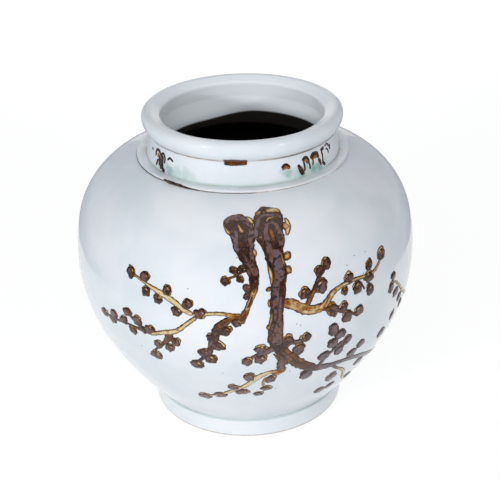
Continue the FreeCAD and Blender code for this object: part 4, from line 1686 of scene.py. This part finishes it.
# Buds: angle, wall share, turn and share of the full size
trunk_bud_shares = (
    (15.3, 0.866, 95, 0.78), (13.8, 0.778, 80, 0.74), (13.7, 0.737, 100, 0.66), (7.1, 0.686, 20, 0.5),
    (6.7, 0.565, 60, 0.5),
)
low_pair_bud_shares = ((12.9, 0.506, 100, 1.2), (18.5, 0.507, 60, 1.05), (16.5, 0.466, 80, 1.3))
low_left_bud_shares = ((4.2, 0.484, 10, 1.12), (3.9, 0.445, 80, 1.2), (-0.1, 0.435, 85, 1.08))
small_twig_bud_shares = (
    (-3.6, 0.745, 160, 0.8), (-1.5, 0.752, 60, 0.6), (-6.3, 0.713, 150, 0.86), (-1.7, 0.719, 140, 0.66),
)
loose_bud_shares = ((0.3, 0.692, 110, 0.8), (0.2, 0.669, 60, 0.68))
left_upper_bud_shares = (
    (-14.3, 0.606, 40, 1.15), (-18.3, 0.632, 60, 1.08), (-21.8, 0.604, 80, 1.05), (-25, 0.664, 70, 1.02),
    (-28.4, 0.633, 95, 1), (-33.4, 0.69, 60, 1.02), (-32.6, 0.645, 80, 1.02), (-38.9, 0.69, 100, 1.08),
)
left_lower_bud_shares = (
    (-32, 0.513, 30, 1.14), (-34.6, 0.504, 140, 0.8), (-36.7, 0.53, 100, 1.15), (-40.8, 0.549, 10, 1),
    (-43.2, 0.512, 30, 1.08), (-39.5, 0.486, 150, 1.02), (-48, 0.513, 40, 1.05), (-49.2, 0.488, 20, 1.02),
    (-53.6, 0.495, 10, 1.1),
)
left_drop_bud_shares = (
    (-22.9, 0.49, 70, 1.02), (-25.6, 0.463, 70, 1), (-29.6, 0.464, 80, 1), (-31.6, 0.413, 20, 1.24),
)
hanging_bud_shares = (
    (-6.6, 0.553, 50, 1.12), (-3.2, 0.584, 120, 0.95), (-11, 0.528, 40, 0.95), (-8.9, 0.497, 160, 1.2),
    (-13.8, 0.466, 20, 1.15), (-11.9, 0.441, 170, 1.28), (-16.6, 0.412, 10, 1.22),
)
right_bud_shares = (
    (18.3, 0.657, 80, 1.1), (24, 0.669, 85, 1.35), (24.1, 0.715, 80, 1), (26.7, 0.732, 60, 1.08),
    (34, 0.667, 70, 1.12), (32.3, 0.633, 100, 0.84), (37.3, 0.628, 95, 1.2), (43.3, 0.683, 50, 0.98),
    (42.6, 0.645, 10, 1.2), (42.8, 0.6, 95, 1.12), (49.7, 0.695, 40, 1.12),
)
bud_chain_bud_shares = (
    (27.8, 0.582, 120, 1.34), (31.5, 0.581, 70, 1.02), (33.1, 0.541, 110, 1.24), (37.9, 0.546, 40, 1.16),
)
low_right_bud_shares = (
    (28.4, 0.51, 100, 1.28), (31.1, 0.482, 30, 1.24), (28.7, 0.455, 120, 1.22), (34.6, 0.448, 50, 1.14),
    (31.6, 0.416, 80, 1.2), (26, 0.41, 20, 1.22),
)
root_bud_shares = ((20.9, 0.336, 100, 1.5), (38.4, 0.374, 30, 1.05), (42, 0.397, 60, 1.12))
low_centre_bud_shares = (
    (0.3, 0.36, 110, 1.22), (-5.3, 0.3, 150, 1.15), (-2.3, 0.272, 0, 1.2), (3.6, 0.256, 20, 0.95),
    (-10.8, 0.243, 20, 1.25), (-17.5, 0.221, 10, 1.3), (7.6, 0.344, 70, 1.1), (6.6, 0.29, 20, 1.05),
)
low_twig_bud_shares = (
    (33.8, 0.262, 110, 1.55), (32, 0.18, 150, 1.35), (37, 0.19, 60, 1.15), (47.8, 0.277, 140, 1.5),
    (46.8, 0.195, 110, 1.15),
)
side_bud_shares = (
    (55.6, 0.594, 10, 0.92), (54.4, 0.557, 100, 1.05), (58, 0.526, 20, 1.1), (62.2, 0.487, 120, 1.08),
    (65.6, 0.447, 90, 1), (59.4, 0.428, 110, 1.15), (54.9, 0.378, 150, 1.4), (77.2, 0.384, 110, 1.1),
    (79, 0.317, 90, 1.2), (75.3, 0.262, 120, 1.1),
)

# Neck curls: angle, share of the neck's rise and share of a neck stroke's width
right_curl_shares = (
    ((22.5, 0.58, 0.5), (25, 0.7, 0.7), (28, 0.56, 0.5)),
    ((33.4, 0.56, 0.8), (34.6, 0.38, 1), (36, 0.16, 0.9)),
    ((36.4, 0.68, 0.6), (38.6, 0.76, 0.8), (41, 0.66, 0.8), (41.2, 0.46, 0.6)),
    ((43.2, 0.62, 0.8), (45, 0.78, 0.9), (48.6, 0.74, 1), (49.8, 0.52, 0.9)),
    ((52.4, 0.76, 0.9), (56.2, 0.8, 1)),
    ((52.8, 0.28, 0.9), (55.4, 0.1, 0.9)),
    ((63, 0.56, 0.8), (63.8, 0.78, 0.7)),
    ((37.2, 0.66, 0.5), (38, 0.42, 0.6), (37.6, 0.22, 0.5)),
    ((41.4, 0.5, 0.5), (42, 0.34, 0.6), (41.6, 0.22, 0.5)),
    ((45.2, 0.7, 0.4), (44.8, 0.45, 0.5), (44.2, 0.32, 0.4)),
    ((53.4, 0.72, 0.7), (54, 0.5, 0.6), (53.4, 0.3, 0.7)),
    ((58.4, 0.7, 0.4), (60.4, 0.62, 0.6), (61, 0.44, 0.5)),
)
left_curl_shares = (
    ((-49.8, 0.56, 0.5), (-47.6, 0.68, 0.7), (-44.8, 0.58, 0.5)),
    ((-52.6, 0.36, 0.6), (-52.4, 0.6, 0.6), (-54.4, 0.74, 0.7), (-56.4, 0.58, 0.8), (-56, 0.12, 0.9)),
    ((-63.6, 0.5, 0.6), (-61.8, 0.74, 0.8), (-58.6, 0.74, 0.8), (-57.2, 0.6, 0.6)),
    ((-59.6, 0.4, 0.6), (-61, 0.1, 0.9)),
    ((-69.4, 0.62, 0.8), (-67.4, 0.62, 0.8)),
    ((-55.2, 0.66, 0.8), (-54.9, 0.4, 1), (-54, 0.12, 1.2)),
    ((-54.2, 0.07, 1.2), (-51.4, 0.05, 1.2)),
    ((-58.8, 0.66, 0.7), (-58.2, 0.4, 0.8), (-57.4, 0.16, 0.8)),
)

# Patches of iron: a tone, then points of an angle, a share up the face and a share of a neck stroke's width
lip_patch_shares = (
    (0.36, (-11, 0.16, 0.9), (-7, 0.17, 1.3), (-2, 0.15, 1.3), (2.6, 0.14, 1)),
    (0.18, (-9.6, 0.06, 0.2), (-9.2, 0.26, 0.2)), (0.16, (-7.4, 0.08, 0.2), (-7.2, 0.27, 0.24)),
    (0.52, (-8.4, 0.07, 0.2), (-8.2, 0.26, 0.2)), (0.2, (-5.6, 0.08, 0.24), (-5.2, 0.25, 0.2)),
    (0.52, (-6.4, 0.07, 0.2), (-6.2, 0.24, 0.2)), (0.22, (-3.6, 0.08, 0.22), (-3.4, 0.24, 0.2)),
    (0.5, (-2.2, 0.08, 0.4), (-0.4, 0.16, 0.5), (1.8, 0.14, 0.4)),
    (0.12, (22, 0.07, 0.08), (34, 0.09, 0.2), (48, 0.1, 0.24), (62, 0.1, 0.2), (74, 0.08, 0.1)),
    (0.2, (-64, 0.07, 0.08), (-52, 0.09, 0.14), (-40, 0.08, 0.08)),
)
neck_patch_shares = (
    (0.38, (-10.8, 0.93, 0.8), (-7, 0.92, 1), (-2, 0.93, 1), (2.4, 0.94, 0.8)),
    (0.18, (-9.4, 0.88, 0.2), (-9.3, 0.97, 0.2)), (0.16, (-7.3, 0.87, 0.2), (-7.2, 0.97, 0.24)),
    (0.2, (-5.4, 0.88, 0.24), (-5.2, 0.97, 0.2)), (0.22, (-3.4, 0.88, 0.22), (-3.3, 0.97, 0.2)),
    (0.5, (-1.6, 0.93, 0.4), (1.6, 0.94, 0.4)),
)
right_curl_fill_shares = (
    (0.26, (22.8, 0.5, 0.5), (25, 0.58, 0.8), (27.6, 0.5, 0.5)),
    (0.5, (34, 0.48, 0.8), (35, 0.3, 1.3), (36.2, 0.1, 1)),
    (0.28, (37, 0.6, 0.5), (38.9, 0.65, 0.9), (40.6, 0.5, 0.7)),
    (0.28, (43.8, 0.56, 0.5), (46, 0.66, 1), (48.4, 0.6, 0.9)),
    (0.46, (49.8, 0.5, 0.8), (50.8, 0.3, 0.8), (51.2, 0.18, 0.4)),
    (0.6, (57, 0.84, 0.4), (60, 0.88, 0.5), (62.2, 0.7, 0.4)),
)
left_curl_fill_shares = (
    (0.5, (-53.6, 0.6, 0.6), (-54.8, 0.44, 0.9), (-55.4, 0.26, 1.1), (-54.4, 0.08, 1.5)),
    (0.26, (-57, 0.66, 0.6), (-58.6, 0.62, 0.9), (-60, 0.48, 0.6)),
    (0.5, (-51, 0.08, 0.8), (-52.8, 0.07, 1.3)),
    (0.3, (-61.6, 0.62, 0.6), (-62.8, 0.46, 0.7)),
)
collar_patch_shares = (
    (0.55, (-45, 0.78, 0.3), (-42.5, 0.62, 0.7), (-39, 0.5, 0.95), (-35, 0.42, 0.9), (-31, 0.32, 0.6),
     (-27, 0.22, 0.3), (-22.5, 0.14, 0.16)),
    (0.7, (-41.5, 0.6, 0.3), (-38, 0.5, 0.4), (-34, 0.42, 0.3)),
    (0.34, (-92, 0.24, 0.06), (-76, 0.22, 0.12), (-62, 0.2, 0.16), (-52, 0.24, 0.14),
     (-43, 0.3, 0.1)),
    (0.3, (-24, 0.12, 0.06), (-10, 0.1, 0.1), (6, 0.1, 0.06)),
)

# Stray specks of iron: angle and wall share
speck_shares = (
    (-18, 0.682), (-37.2, 0.431), (15.5, 0.563), (16.7, 0.557), (37.5, 0.73), (42.3, 0.727), (34, 0.71),
    (-2.6, 0.783), (-8.3, 0.38), (14.2, 0.373), (10.2, 0.28), (40.2, 0.665), (40, 0.613),
)

# Ropes of slip over the broad limbs: a tone, then points of an angle, a wall share and a share of width
trunk_rope_shares = (
    (0.8, (4, 0.838, 0.3), (4.4, 0.868, 0.34), (5.5, 0.893, 0.36), (7.2, 0.905, 0.36), (9.4, 0.908, 0.3),
     (11.6, 0.905, 0.3), (13.4, 0.9, 0.32), (14.4, 0.892, 0.24)),
    (0.12, (8.8, 0.923, 0.24), (11, 0.924, 0.38), (13.2, 0.922, 0.34), (14.2, 0.913, 0.22)),
    (0.2, (4.6, 0.911, 0.22), (5.6, 0.918, 0.3), (6.9, 0.923, 0.18)),
    (0.04, (8.3, 0.887, 0.18), (9.2, 0.896, 0.19), (10.5, 0.898, 0.17), (11.8, 0.897, 0.1)),
    (0.76, (9.4, 0.77, 0.5), (8.3, 0.8, 0.48), (7.7, 0.83, 0.42), (7.7, 0.858, 0.38), (8.5, 0.879, 0.34),
     (10.2, 0.884, 0.34), (11.6, 0.877, 0.34), (12.4, 0.858, 0.36), (12.7, 0.832, 0.46), (12.2, 0.808, 0.36)),
    (0.28, (9.6, 0.863, 0.24), (9.8, 0.845, 0.3), (10.2, 0.824, 0.18)),
    (0.2, (4.9, 0.845, 0.12), (5.7, 0.838, 0.18), (6.2, 0.851, 0.1)),
    (0.28, (12.7, 0.894, 0.2), (13.2, 0.887, 0.2)),
    (0.86, (9.7, 0.802, 0.8), (10.1, 0.775, 0.95), (10.6, 0.745, 0.7), (10.9, 0.722, 0.7),
     (12.2, 0.716, 0.34)),
    (0.15, (11.9, 0.786, 0.12), (12.2, 0.766, 0.2), (12.6, 0.75, 0.12)),
    (0.08, (7.3, 0.756, 0.1), (7.8, 0.738, 0.28), (8.1, 0.716, 0.24), (7.9, 0.699, 0.1)),
    (0.76, (9.9, 0.722, 0.5), (9.3, 0.69, 0.52), (9.1, 0.655, 0.5), (8.9, 0.62, 0.36), (8.7, 0.585, 0.24)),
    (0.72, (10.8, 0.665, 0.14), (10.3, 0.63, 0.34), (10.1, 0.59, 0.3), (9.5, 0.555, 0.6), (9.2, 0.525, 0.72),
     (9.3, 0.497, 0.8)),
    (0.12, (7, 0.656, 0.08), (6.95, 0.643, 0.2), (7.1, 0.63, 0.08)),
    (0.14, (7.9, 0.614, 0.1), (7.5, 0.592, 0.2), (7.1, 0.573, 0.18), (6.4, 0.562, 0.16)),
    (0.04, (15.9, 0.893, 0.14), (16.2, 0.874, 0.34), (15.6, 0.853, 0.34), (14.9, 0.838, 0.16)),
    (0.24, (11.1, 0.604, 0.06), (11, 0.572, 0.12), (10.9, 0.548, 0.12), (10.9, 0.526, 0.06)),
    (0.2, (10.5, 0.474, 0.1), (12.4, 0.452, 0.16), (14.6, 0.428, 0.2)),
    (0.1, (8.3, 0.464, 0.1), (9.2, 0.449, 0.14), (9.8, 0.434, 0.08)),
    (0.74, (11.1, 0.447, 0.2), (12.2, 0.428, 0.26), (13, 0.41, 0.2)),
)
left_limb_rope_shares = (
    (0.74, (-7.3, 0.886, 0.3), (-6, 0.896, 0.46), (-3.6, 0.904, 0.46), (-1.2, 0.902, 0.5),
     (0.9, 0.893, 0.44),
     (2.1, 0.877, 0.38), (2.5, 0.856, 0.36), (2.1, 0.836, 0.42), (2.3, 0.815, 0.3), (2.1, 0.795, 0.32),
     (2.6, 0.776, 0.4)),
    (0.84, (-4.1, 0.868, 0.3), (-3.4, 0.85, 0.5), (-3.1, 0.83, 0.42), (-2.7, 0.812, 0.4), (-2.3, 0.798, 0.2)),
    (0.72, (-0.4, 0.776, 0.2), (0.8, 0.765, 0.44), (2, 0.758, 0.5), (2.9, 0.744, 0.5), (3.1, 0.728, 0.3)),
    (0.1, (0.9, 0.907, 0.12), (1.9, 0.9, 0.28), (2.8, 0.89, 0.28), (3.3, 0.882, 0.1)),
    (0.16, (-2.3, 0.882, 0.16), (-1.6, 0.87, 0.26), (-0.9, 0.86, 0.28), (-0.2, 0.866, 0.16)),
    (0.1, (-7.6, 0.88, 0.08), (-6.6, 0.866, 0.18), (-5.6, 0.856, 0.26), (-4.8, 0.852, 0.12)),
    (0.12, (2.8, 0.806, 0.16), (3.3, 0.796, 0.28), (3.5, 0.786, 0.16)),
    (0.06, (2.9, 0.823, 0.14), (3.3, 0.815, 0.1)),
    (0.42, (1.9, 0.668, 0.12), (1.3, 0.648, 0.16), (0.4, 0.632, 0.12)),
    (0.4, (-0.4, 0.626, 0.2), (-1, 0.608, 0.34), (-0.6, 0.592, 0.2)),
)


@dataclass(frozen=True)
class Spray:
    """One spray of the painted branch, or one group of curls."""

    node: str
    strokes: tuple[Stroke, ...] = ()
    buds: Points = ()
    limbs: tuple[Limb, ...] = ()
    bud_tone: float = 0.63
    notch: Notch = Notch.RIGHT
    overlay: tuple[Stroke, ...] = ()
    face: Face = Face.WALL


def ropes(rows: Sequence[Sequence], edge: float = 1.5) -> tuple[Stroke, ...]:
    """Strokes laid over a broad limb, from rows of a tone and its points."""
    return tuple(Stroke(row[1:], (row[0],), height=0.0004, edge=edge, sink=0.0004) for row in rows)


def curls(node: str, curl_rows: Sequence[Points], fill_rows: Sequence[Sequence]) -> Spray:
    """One group of curls on the neck, with the slip that fills them."""
    strokes = tuple(Stroke(points, (0.5,), height=0.0004) for points in curl_rows)
    return Spray(node, strokes, overlay=ropes(fill_rows, edge=4.0), face=Face.NECK)


def sprays() -> list[Spray]:
    """All sprays of the painting, in the order in which they are laid.

    Returns:
        The sprays with their strokes, buds and tones.
    """
    trunk = Limb(trunk_row_shares, (0.52,) * 18 + (0.5, 0.4, 0.36))
    left_limb = Limb(left_limb_row_shares, (0.52,) * 12 + (0.42, 0.04, 0.1, 0.3, 0.36, 0.04))
    right_main_tones = (0.26, 0.2, 0.18, 0.21, 0.25, 0.2, 0.13, 0.08, 0.12, 0.05, 0.04, 0.0, 0.0)
    # High tones, 0.8 to 0.95, on the lower and right sprays and the root's lower end grey the slip towards
    # violet: partly the slip's own colour, partly a painted reflection of the table in the glaze
    root_tones = (0.46, 0.42, 0.42, 0.52, 0.95, 0.95, 0.95, 0.95, 0.9, 0.9, 0.9, 0.9)
    low_centre_tones = (0.4, 0.1, 0.02, 0.0, 0.0, 0.1, 0.04, 0.0, 0.02, 0.1, 0.5)
    return [
        Spray("trunk", (), trunk_bud_shares, (trunk,), 0.08, overlay=ropes(trunk_rope_shares)),
        Spray("left_limb", (), loose_bud_shares, (left_limb,), 0.7, overlay=ropes(left_limb_rope_shares)),
        Spray("small_twig", (
            Stroke(small_twig_shares, (0.45, 0.3, 0.1, 0.04)),
        ), small_twig_bud_shares, bud_tone=0.5),
        Spray("left_branch", (
            Stroke(left_main_shares, (0.3, 0.04, 0.04), edge=1.7),
            Stroke(left_upper_shares, (0.08, 0.02, 0.06, 0.2), edge=1.7),
        ), left_upper_bud_shares),
        Spray("left_lower_spray", (
            Stroke(left_lower_shares, (0.1, 0.06, 0.08, 0.16, 0.3, 0.85, 0.9, 0.9), edge=1.5),
            Stroke(left_lower_side_shares, (0.9,)),
        ), left_lower_bud_shares),
        Spray("left_drop_spray", (Stroke(left_drop_shares, (0.3, 0.35, 0.5)),), left_drop_bud_shares),
        Spray("hanging_spray", (
            Stroke(hanging_shares, (0.3, 0.36, 0.46, 0.62, 0.6, 0.56, 0.5)),
        ), hanging_bud_shares, bud_tone=0.54),
        Spray("right_branch", (
            Stroke(right_main_shares, right_main_tones, edge=1.2),
            Stroke(right_rising_shares, (0.26, 0.3, 0.4, 0.8)),
            Stroke(right_short_shares, (0.5,)),
        ), right_bud_shares, notch=Notch.LEFT),
        Spray("bud_chain", (
            Stroke(bud_chain_shares, (0.3, 0.38, 0.5)),
        ), bud_chain_bud_shares, notch=Notch.LEFT),
        Spray("root_branch", (
            Stroke(root_shares, root_tones, edge=1.3),
            Stroke(root_bud_twig_shares, (0.6,)),
        ), root_bud_shares, bud_tone=0.85, notch=Notch.LEFT),
        Spray("low_bud_pair", (Stroke(low_pair_shares, (0.85,)),), low_pair_bud_shares, notch=Notch.LEFT),
        Spray("low_left_twig", (Stroke(low_left_twig_shares, (0.8, 0.9)),), low_left_bud_shares),
        Spray("low_right_spray", (
            Stroke(low_right_shares, (0.9,)),
            Stroke(low_right_side_shares, (0.9,)),
        ), low_right_bud_shares, bud_tone=0.9, notch=Notch.LEFT),
        Spray("low_centre_branch", (
            Stroke(root_stub_shares, (0.7, 0.85)),
            Stroke(low_centre_shares, low_centre_tones, edge=1.9),
            Stroke(low_centre_hook_shares, (0.3,), edge=1.5),
            Stroke(low_centre_drop_shares, (0.15,), edge=2.0),
        ), low_centre_bud_shares, bud_tone=0.79),
        Spray("low_right_twig", (
            Stroke(low_twig_shares, (0.6, 0.1, 0.04, 0.04), edge=1.6),
        ), low_twig_bud_shares, bud_tone=0.9, notch=Notch.LEFT),
        Spray("side_spray", (
            Stroke(side_branch_shares, (0.6, 0.1, 0.02, 0.02), edge=1.6),
        ), side_bud_shares, bud_tone=0.85, notch=Notch.LEFT),
        curls("right_neck_curls", right_curl_shares, right_curl_fill_shares),
        curls("left_neck_curls", left_curl_shares, left_curl_fill_shares),
    ]


@dataclass
class Painting:
    """The plum branch in raised iron slip on the wall, and the curls and patches above it."""

    form: JarForm
    seed: int = 11
    patch_seed_step: int = 60
    speck_seed_step: int = 100
    speck_size: Place = (0.42, 0.32)
    speck_tone: float = 0.5
    speck_height: float = 0.0002
    sharp_angle: float = 75.0

    def surface(self, face: Face) -> Surface:
        """Lay out one painted face of the jar.

        Args:
            face: Which face.

        Returns:
            Its surface.
        """
        form = self.form
        if face is Face.WALL:
            return Surface(form, form.wall, form.wall_span_angle)
        if face is Face.NECK:
            return Surface(form, [form.neck_face], form.neck_span_angle)
        arc, radius = form.collar_face, form.collar_radius
        if face is Face.LIP:
            arc, radius = form.lip_flank, form.lip_radius
        return Surface(form, [arc], math.degrees(arc.length / radius))

    def brush(self, face: Face, seed_step: int) -> SlipBrush:
        """Take up a fresh brush.

        Args:
            face: The face to paint.
            seed_step: What is added to the painting's seed.

        Returns:
            The brush.
        """
        full_angle = trunk_angle if face is Face.WALL else neck_stroke_angle
        return SlipBrush(self.surface(face), self.seed + seed_step, full_angle)

    def build(self, finish: Material) -> list[bpy.types.Object]:
        """Lay every spray, then the patches and the stray specks.

        Args:
            finish: The slip.

        Returns:
            The pieces.
        """
        laid = []
        for index, spray in enumerate(sprays()):
            brush = self.brush(spray.face, index)
            for limb in spray.limbs:
                brush.limb(limb)
            for stroke in (*spray.strokes, *spray.overlay):
                brush.stroke(stroke)
            for around, share, turn, size in spray.buds:
                brush.bud(around, share, turn, size, spray.bud_tone, spray.notch)
            laid.append(("slip_" + spray.node, brush, [spray.node]))
        for name, face, shares in (
            ("slip_lip_patch", Face.LIP, lip_patch_shares),
            ("slip_collar_patch", Face.COLLAR, collar_patch_shares),
            ("slip_neck_patch", Face.NECK, neck_patch_shares),
        ):
            brush = self.brush(face, self.patch_seed_step)
            for stroke in ropes(shares, edge=3.0):
                brush.stroke(stroke)
            laid.append((name, brush, []))
        brush = self.brush(Face.WALL, self.speck_seed_step)
        for around, share in speck_shares:
            turn = brush.random.uniform(0, 90)
            brush.dab(around, share, turn, *self.speck_size, self.speck_tone, self.speck_height)
        laid.append(("slip_specks", brush, []))
        return [
            finished(name, brush.done(), finish, nodes, self.sharp_angle)
            for name, brush, nodes in laid
        ]


# Studio


@dataclass(frozen=True)
class Lamp:
    """A square lamp that looks at the jar.

    Its azimuth is 0 in front of the jar and positive to the viewer's right, and glossy says
    whether the glaze mirrors it.
    """

    name: str
    azimuth: float
    elevation: float
    watts: float
    size: float
    distance: float = 1.9
    glossy: bool = False
    aim_height: float = 0.2

    def add(self) -> bpy.types.Object:
        """Add the lamp to the scene.

        Returns:
            The lamp.
        """
        data = bpy.data.lights.new(self.name, "AREA")
        data.energy = self.watts
        data.size = self.size
        lamp = placed(self.name, data)
        around, up = math.radians(self.azimuth), math.radians(self.elevation)
        way = Vector((math.sin(around) * math.cos(up), -math.cos(around) * math.cos(up), math.sin(up)))
        lamp.location = Vector((0.0, 0.0, self.aim_height)) + way * self.distance
        lamp.rotation_euler = way.to_track_quat("Z", "Y").to_euler()
        lamp.visible_glossy = self.glossy
        return lamp


@dataclass
class Studio:
    """White table, a dark screen that the glaze mirrors, lamps before and behind, and the camera."""

    aim: tuple[float, float, float] = (0.00452, 0.0, 0.1582)
    distance: float = 1.1785
    elevation: float = 27.72
    roll: float = 1.284
    lens: float = 85.0
    sensor_width: float = 36.0
    clip: Place = (0.05, 50.0)
    lamps: tuple[Lamp, ...] = (
        Lamp("left_lamp", -41.0, 14.0, 12.0, 0.12),
        Lamp("right_lamp", 41.0, 16.0, 7.6, 0.10),
        Lamp("soft_fill", -10.0, 42.0, 15.0, 1.6, 2.4),
        Lamp("back_fill", 180.0, 12.0, 24.0, 1.6, 2.4),
    )
    sparks: tuple[Lamp, ...] = (
        Lamp("left_spark", -41.0, 12.4, 4.0, 0.2, 1.8, glossy=True),
        Lamp("right_spark", 41.0, 16.0, 4.0, 0.2, 1.8, glossy=True),
    )
    white: Colour = (1.0, 1.0, 1.0, 1.0)
    black: Colour = (0.0, 0.0, 0.0, 1.0)
    dim_white: Colour = (0.97, 0.98, 1.0, 1.0)
    dim_strength: float = 0.30
    table_size: float = 6.0
    table_grey: Colour = (0.86, 0.87, 0.88, 1.0)
    table_glow: Place = (0.79, 0.06)
    shadow_share: float = 0.75
    screen_sides: int = 48
    screen_radius: float = 2.6
    screen_height: float = 3.3
    screen_lift: float = 0.01
    screen_cut: float = 2.5
    ring_radius: float = 0.5
    ring_drop: float = 0.004
    ring_lift: float = 0.006
    near_dark: Colour = (0.10, 0.12, 0.15, 1.0)
    far_grey: Colour = (0.50, 0.51, 0.58, 1.0)
    far_range: Place = (1.3, 1.5)
    ring_range: Place = (0.009, 0.012)
    ring_share: float = 0.7

    def camera(self) -> bpy.types.Object:
        """Add the camera at the photograph's angle.

        Returns:
            The camera.
        """
        data = bpy.data.cameras.new("camera")
        data.lens = self.lens
        data.sensor_width = self.sensor_width
        data.clip_start, data.clip_end = self.clip
        camera = placed("camera", data)
        up_angle, roll = math.radians(self.elevation), math.radians(self.roll)
        back = Vector((0.0, -math.cos(up_angle), math.sin(up_angle)))
        right = Vector((1.0, 0.0, 0.0))
        up = back.cross(right)
        level = math.cos(roll) * right - math.sin(roll) * up
        upright = math.sin(roll) * right + math.cos(roll) * up
        place = Matrix((level, upright, back)).transposed().to_4x4()
        place.translation = Vector(self.aim) + back * self.distance
        camera.matrix_world = place
        bpy.context.scene.camera = camera
        return camera

    def table(self) -> bpy.types.Object:
        """Add the white table, which keeps a faint shadow of the jar.

        Returns:
            The table.
        """
        graph = Graph(bpy.data.materials.new("table_white"))
        glow = graph.math("ADD", graph.math("MULTIPLY", graph.seen(), self.table_glow[0]), self.table_glow[1])
        shadowed = graph.node("ShaderNodeBsdfDiffuse", self.table_grey)
        black = graph.node("ShaderNodeBsdfDiffuse", self.black)
        faded = graph.math("MULTIPLY", graph.seen(), self.shadow_share)
        soft = graph.node("ShaderNodeMixShader", faded, shadowed.outputs[0], black.outputs[0])
        light = graph.node("ShaderNodeEmission", self.white, glow)
        material = graph.output(graph.node("ShaderNodeAddShader", soft.outputs[0], light.outputs[0]))
        mesh = bmesh.new()
        bmesh.ops.create_grid(mesh, x_segments=1, y_segments=1, size=self.table_size)
        return shaped("table", mesh, material)

    def screen(self) -> bpy.types.Object:
        """Add a dark screen round the table, with a flat ring at its foot, that only the glaze mirrors.

        Returns:
            The screen, open at the back.
        """
        graph = Graph(bpy.data.materials.new("screen_grey"))
        _, back, up = graph.parts
        ring = graph.span(up, *self.ring_range, self.ring_share, 0.0)
        far = graph.math("MAXIMUM", graph.span(back, *self.far_range), ring)
        grey = graph.blend(far, self.near_dark, self.far_grey)
        material = graph.output(graph.node("ShaderNodeEmission", grey, 1.0))
        mesh = bmesh.new()
        sizes = {"cap_ends": False, "segments": self.screen_sides, "radius1": self.screen_radius}
        bmesh.ops.create_cone(mesh, radius2=self.screen_radius, depth=self.screen_height, **sizes)
        lift = self.screen_height / 2 + self.screen_lift
        bmesh.ops.translate(mesh, verts=mesh.verts[:], vec=(0.0, 0.0, lift))
        bmesh.ops.create_cone(mesh, radius2=self.ring_radius, depth=self.ring_drop, **sizes)
        ring = mesh.verts[-2 * self.screen_sides:]
        bmesh.ops.translate(mesh, verts=ring, vec=(0.0, 0.0, self.ring_lift))
        bmesh.ops.bisect_plane(
            mesh, geom=mesh.verts[:] + mesh.edges[:] + mesh.faces[:], plane_co=(0.0, self.screen_cut, 0.0),
            plane_no=(0.0, 1.0, 0.0), clear_outer=True,
        )
        screen = shaped("dark_screen", mesh, material)
        for kind in ("camera", "diffuse", "shadow", "transmission", "volume_scatter"):
            setattr(screen, "visible_" + kind, False)
        return screen

    def world(self) -> None:
        """Put white behind the jar, and a dim even light on it."""
        graph = Graph(bpy.data.worlds.new("studio"))
        dim = graph.node("ShaderNodeBackground", self.dim_white, self.dim_strength)
        white = graph.node("ShaderNodeBackground", self.white, 1.0)
        mix = graph.node("ShaderNodeMixShader", graph.seen(), dim.outputs[0], white.outputs[0])
        bpy.context.scene.world = graph.output(mix, "ShaderNodeOutputWorld")

    def build(self, rim_pieces: Sequence[bpy.types.Object]) -> None:
        """Set the table, the screen, the light and the camera.

        Args:
            rim_pieces: Pieces on which two small lamps leave a spark.
        """
        bpy.context.scene.view_settings.view_transform = "Standard"
        self.world()
        self.table()
        self.screen()
        for lamp in self.lamps:
            lamp.add()
        sparkling = bpy.data.collections.new("sparkling")
        bpy.context.scene.collection.children.link(sparkling)
        for piece in rim_pieces:
            sparkling.objects.link(piece)
        for lamp in self.sparks:
            spark = lamp.add()
            spark.visible_diffuse = False
            spark.light_linking.receiver_collection = sparkling
        self.camera()


def main() -> None:
    """Build the jar piece by piece, paint it and set the studio."""
    logging.basicConfig(level=logging.INFO, format="%(name)s %(message)s")
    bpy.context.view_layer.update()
    form = JarForm.from_frame()
    clay = [part(form).build() for part in (Foot, Body, Collar, Neck, Lip)]
    slip = Painting(form).build(IronSlip().made())
    for piece in (*clay, *slip):
        log.info("%s: %d faces", piece.name, len(piece.data.polygons))
    Studio().build(rim_pieces=clay[-1:])


if __name__ == "__main__":
    main()
